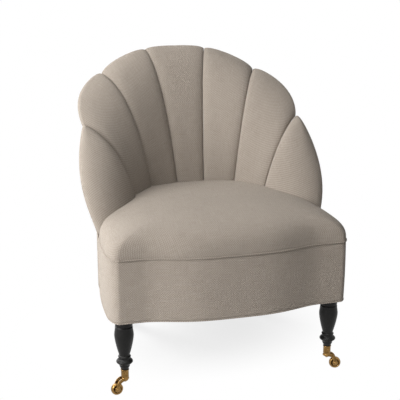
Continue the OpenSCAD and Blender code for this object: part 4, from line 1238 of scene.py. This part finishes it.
# %% [markdown]
# ## Floor and light
# The floor is white and catches a soft shadow. Light Path lets the camera and
# the reflections see plain white mixed in, more and more away from the seat, so
# that the floor melts into the background, while the light that it sends up to
# the chair stays a matt floor's. The same share makes the world white to look
# at and nearly dark as a light. A large white backdrop could do this too, but
# its tone would change with every lamp.

# %% Floor and world
def white_floor(name, near, far):
    """Matt white under the seat, where it takes the shadow, mixed more and more with plain white away from it."""
    g = material(name)
    under = g.add("ShaderNodeMapping", {"Vector": g.on_object(), "Location": (0.02, -0.12, 0),
                                        "Scale": (0.8, 1, 1)}).outputs["Vector"]
    away = g.add("ShaderNodeVectorMath", {0: under}, operation="LENGTH").outputs["Value"]
    share = g.add("ShaderNodeMapRange", {"Value": away, "From Min": 0.10, "From Max": 0.42, "To Min": near,
                                         "To Max": far}, interpolation_type="SMOOTHSTEP").outputs[0]
    g.nodes.remove(g.nodes["Principled BSDF"])
    matt = g.add("ShaderNodeBsdfDiffuse", {"Color": (0.9, 0.9, 0.9, 1)}).outputs[0]
    glow = g.add("ShaderNodeEmission", {"Color": (1, 1, 1, 1), "Strength": 1.0}).outputs[0]
    shown = g.math("MULTIPLY", g.seen_directly(), share)
    mixed = g.add("ShaderNodeMixShader", {0: shown, 1: matt, 2: glow}).outputs[0]
    g.links.new(mixed, g.nodes["Material Output"].inputs["Surface"])
    return g.owner


FLOOR_HALF = 30
mesh = bpy.data.meshes.new("studio_floor")
mesh.from_pydata([(x * FLOOR_HALF, y * FLOOR_HALF, 0) for x, y in ((-1, -1), (1, -1), (1, 1), (-1, 1))], [],
                 [(0, 1, 2, 3)])
mesh.materials.append(white_floor("studio_white", 0.70, 1.0))
floor = bpy.data.objects.new("studio_floor", mesh)
scene.collection.objects.link(floor)

scene.world = bpy.data.worlds.new("studio")
sky = Graph(scene.world)
lit = sky.add("ShaderNodeMapRange", {"Value": sky.seen_directly(), "To Min": 0.04, "To Max": 1.0}).outputs[0]
background = sky.nodes["Background"].inputs
background["Color"].default_value = (1, 1, 1, 1)
sky.links.new(lit, background["Strength"])
print("floor and world white")

# %% [markdown]
# Five square lamps light the chair: a broad key from the front left, one beside
# it for the near side, one behind for the rim and the far channels, one above
# for the seat and a small one that draws the left edge. The chair's right side
# gets no lamp of its own, so the fabric falls off into shade there.

# %% Lamps
AIM = Vector((0, -0.05, 0.45))


def softbox(name, place, size, power):
    """A square lamp at a place, facing the chair's middle."""
    lamp = bpy.data.lights.new(name, "AREA")
    lamp.size, lamp.energy = size, power
    light = bpy.data.objects.new(name, lamp)
    light.location = place
    light.rotation_euler = (AIM - Vector(place)).to_track_quat("-Z", "Y").to_euler()
    scene.collection.objects.link(light)


for lamp in (("key", (-3.0, -1.5, 1.9), 2.0, 103), ("side", (-3.2, -0.4, 1.5), 1.6, 45),
             ("back", (-1.9, 2.5, 1.6), 1.4, 60), ("top", (-0.6, -1.4, 3.2), 1.2, 38),
             ("rim", (-1.2, 0.9, 2.6), 1.2, 26)):
    softbox(*lamp)
scene.view_settings.view_transform = "Standard"
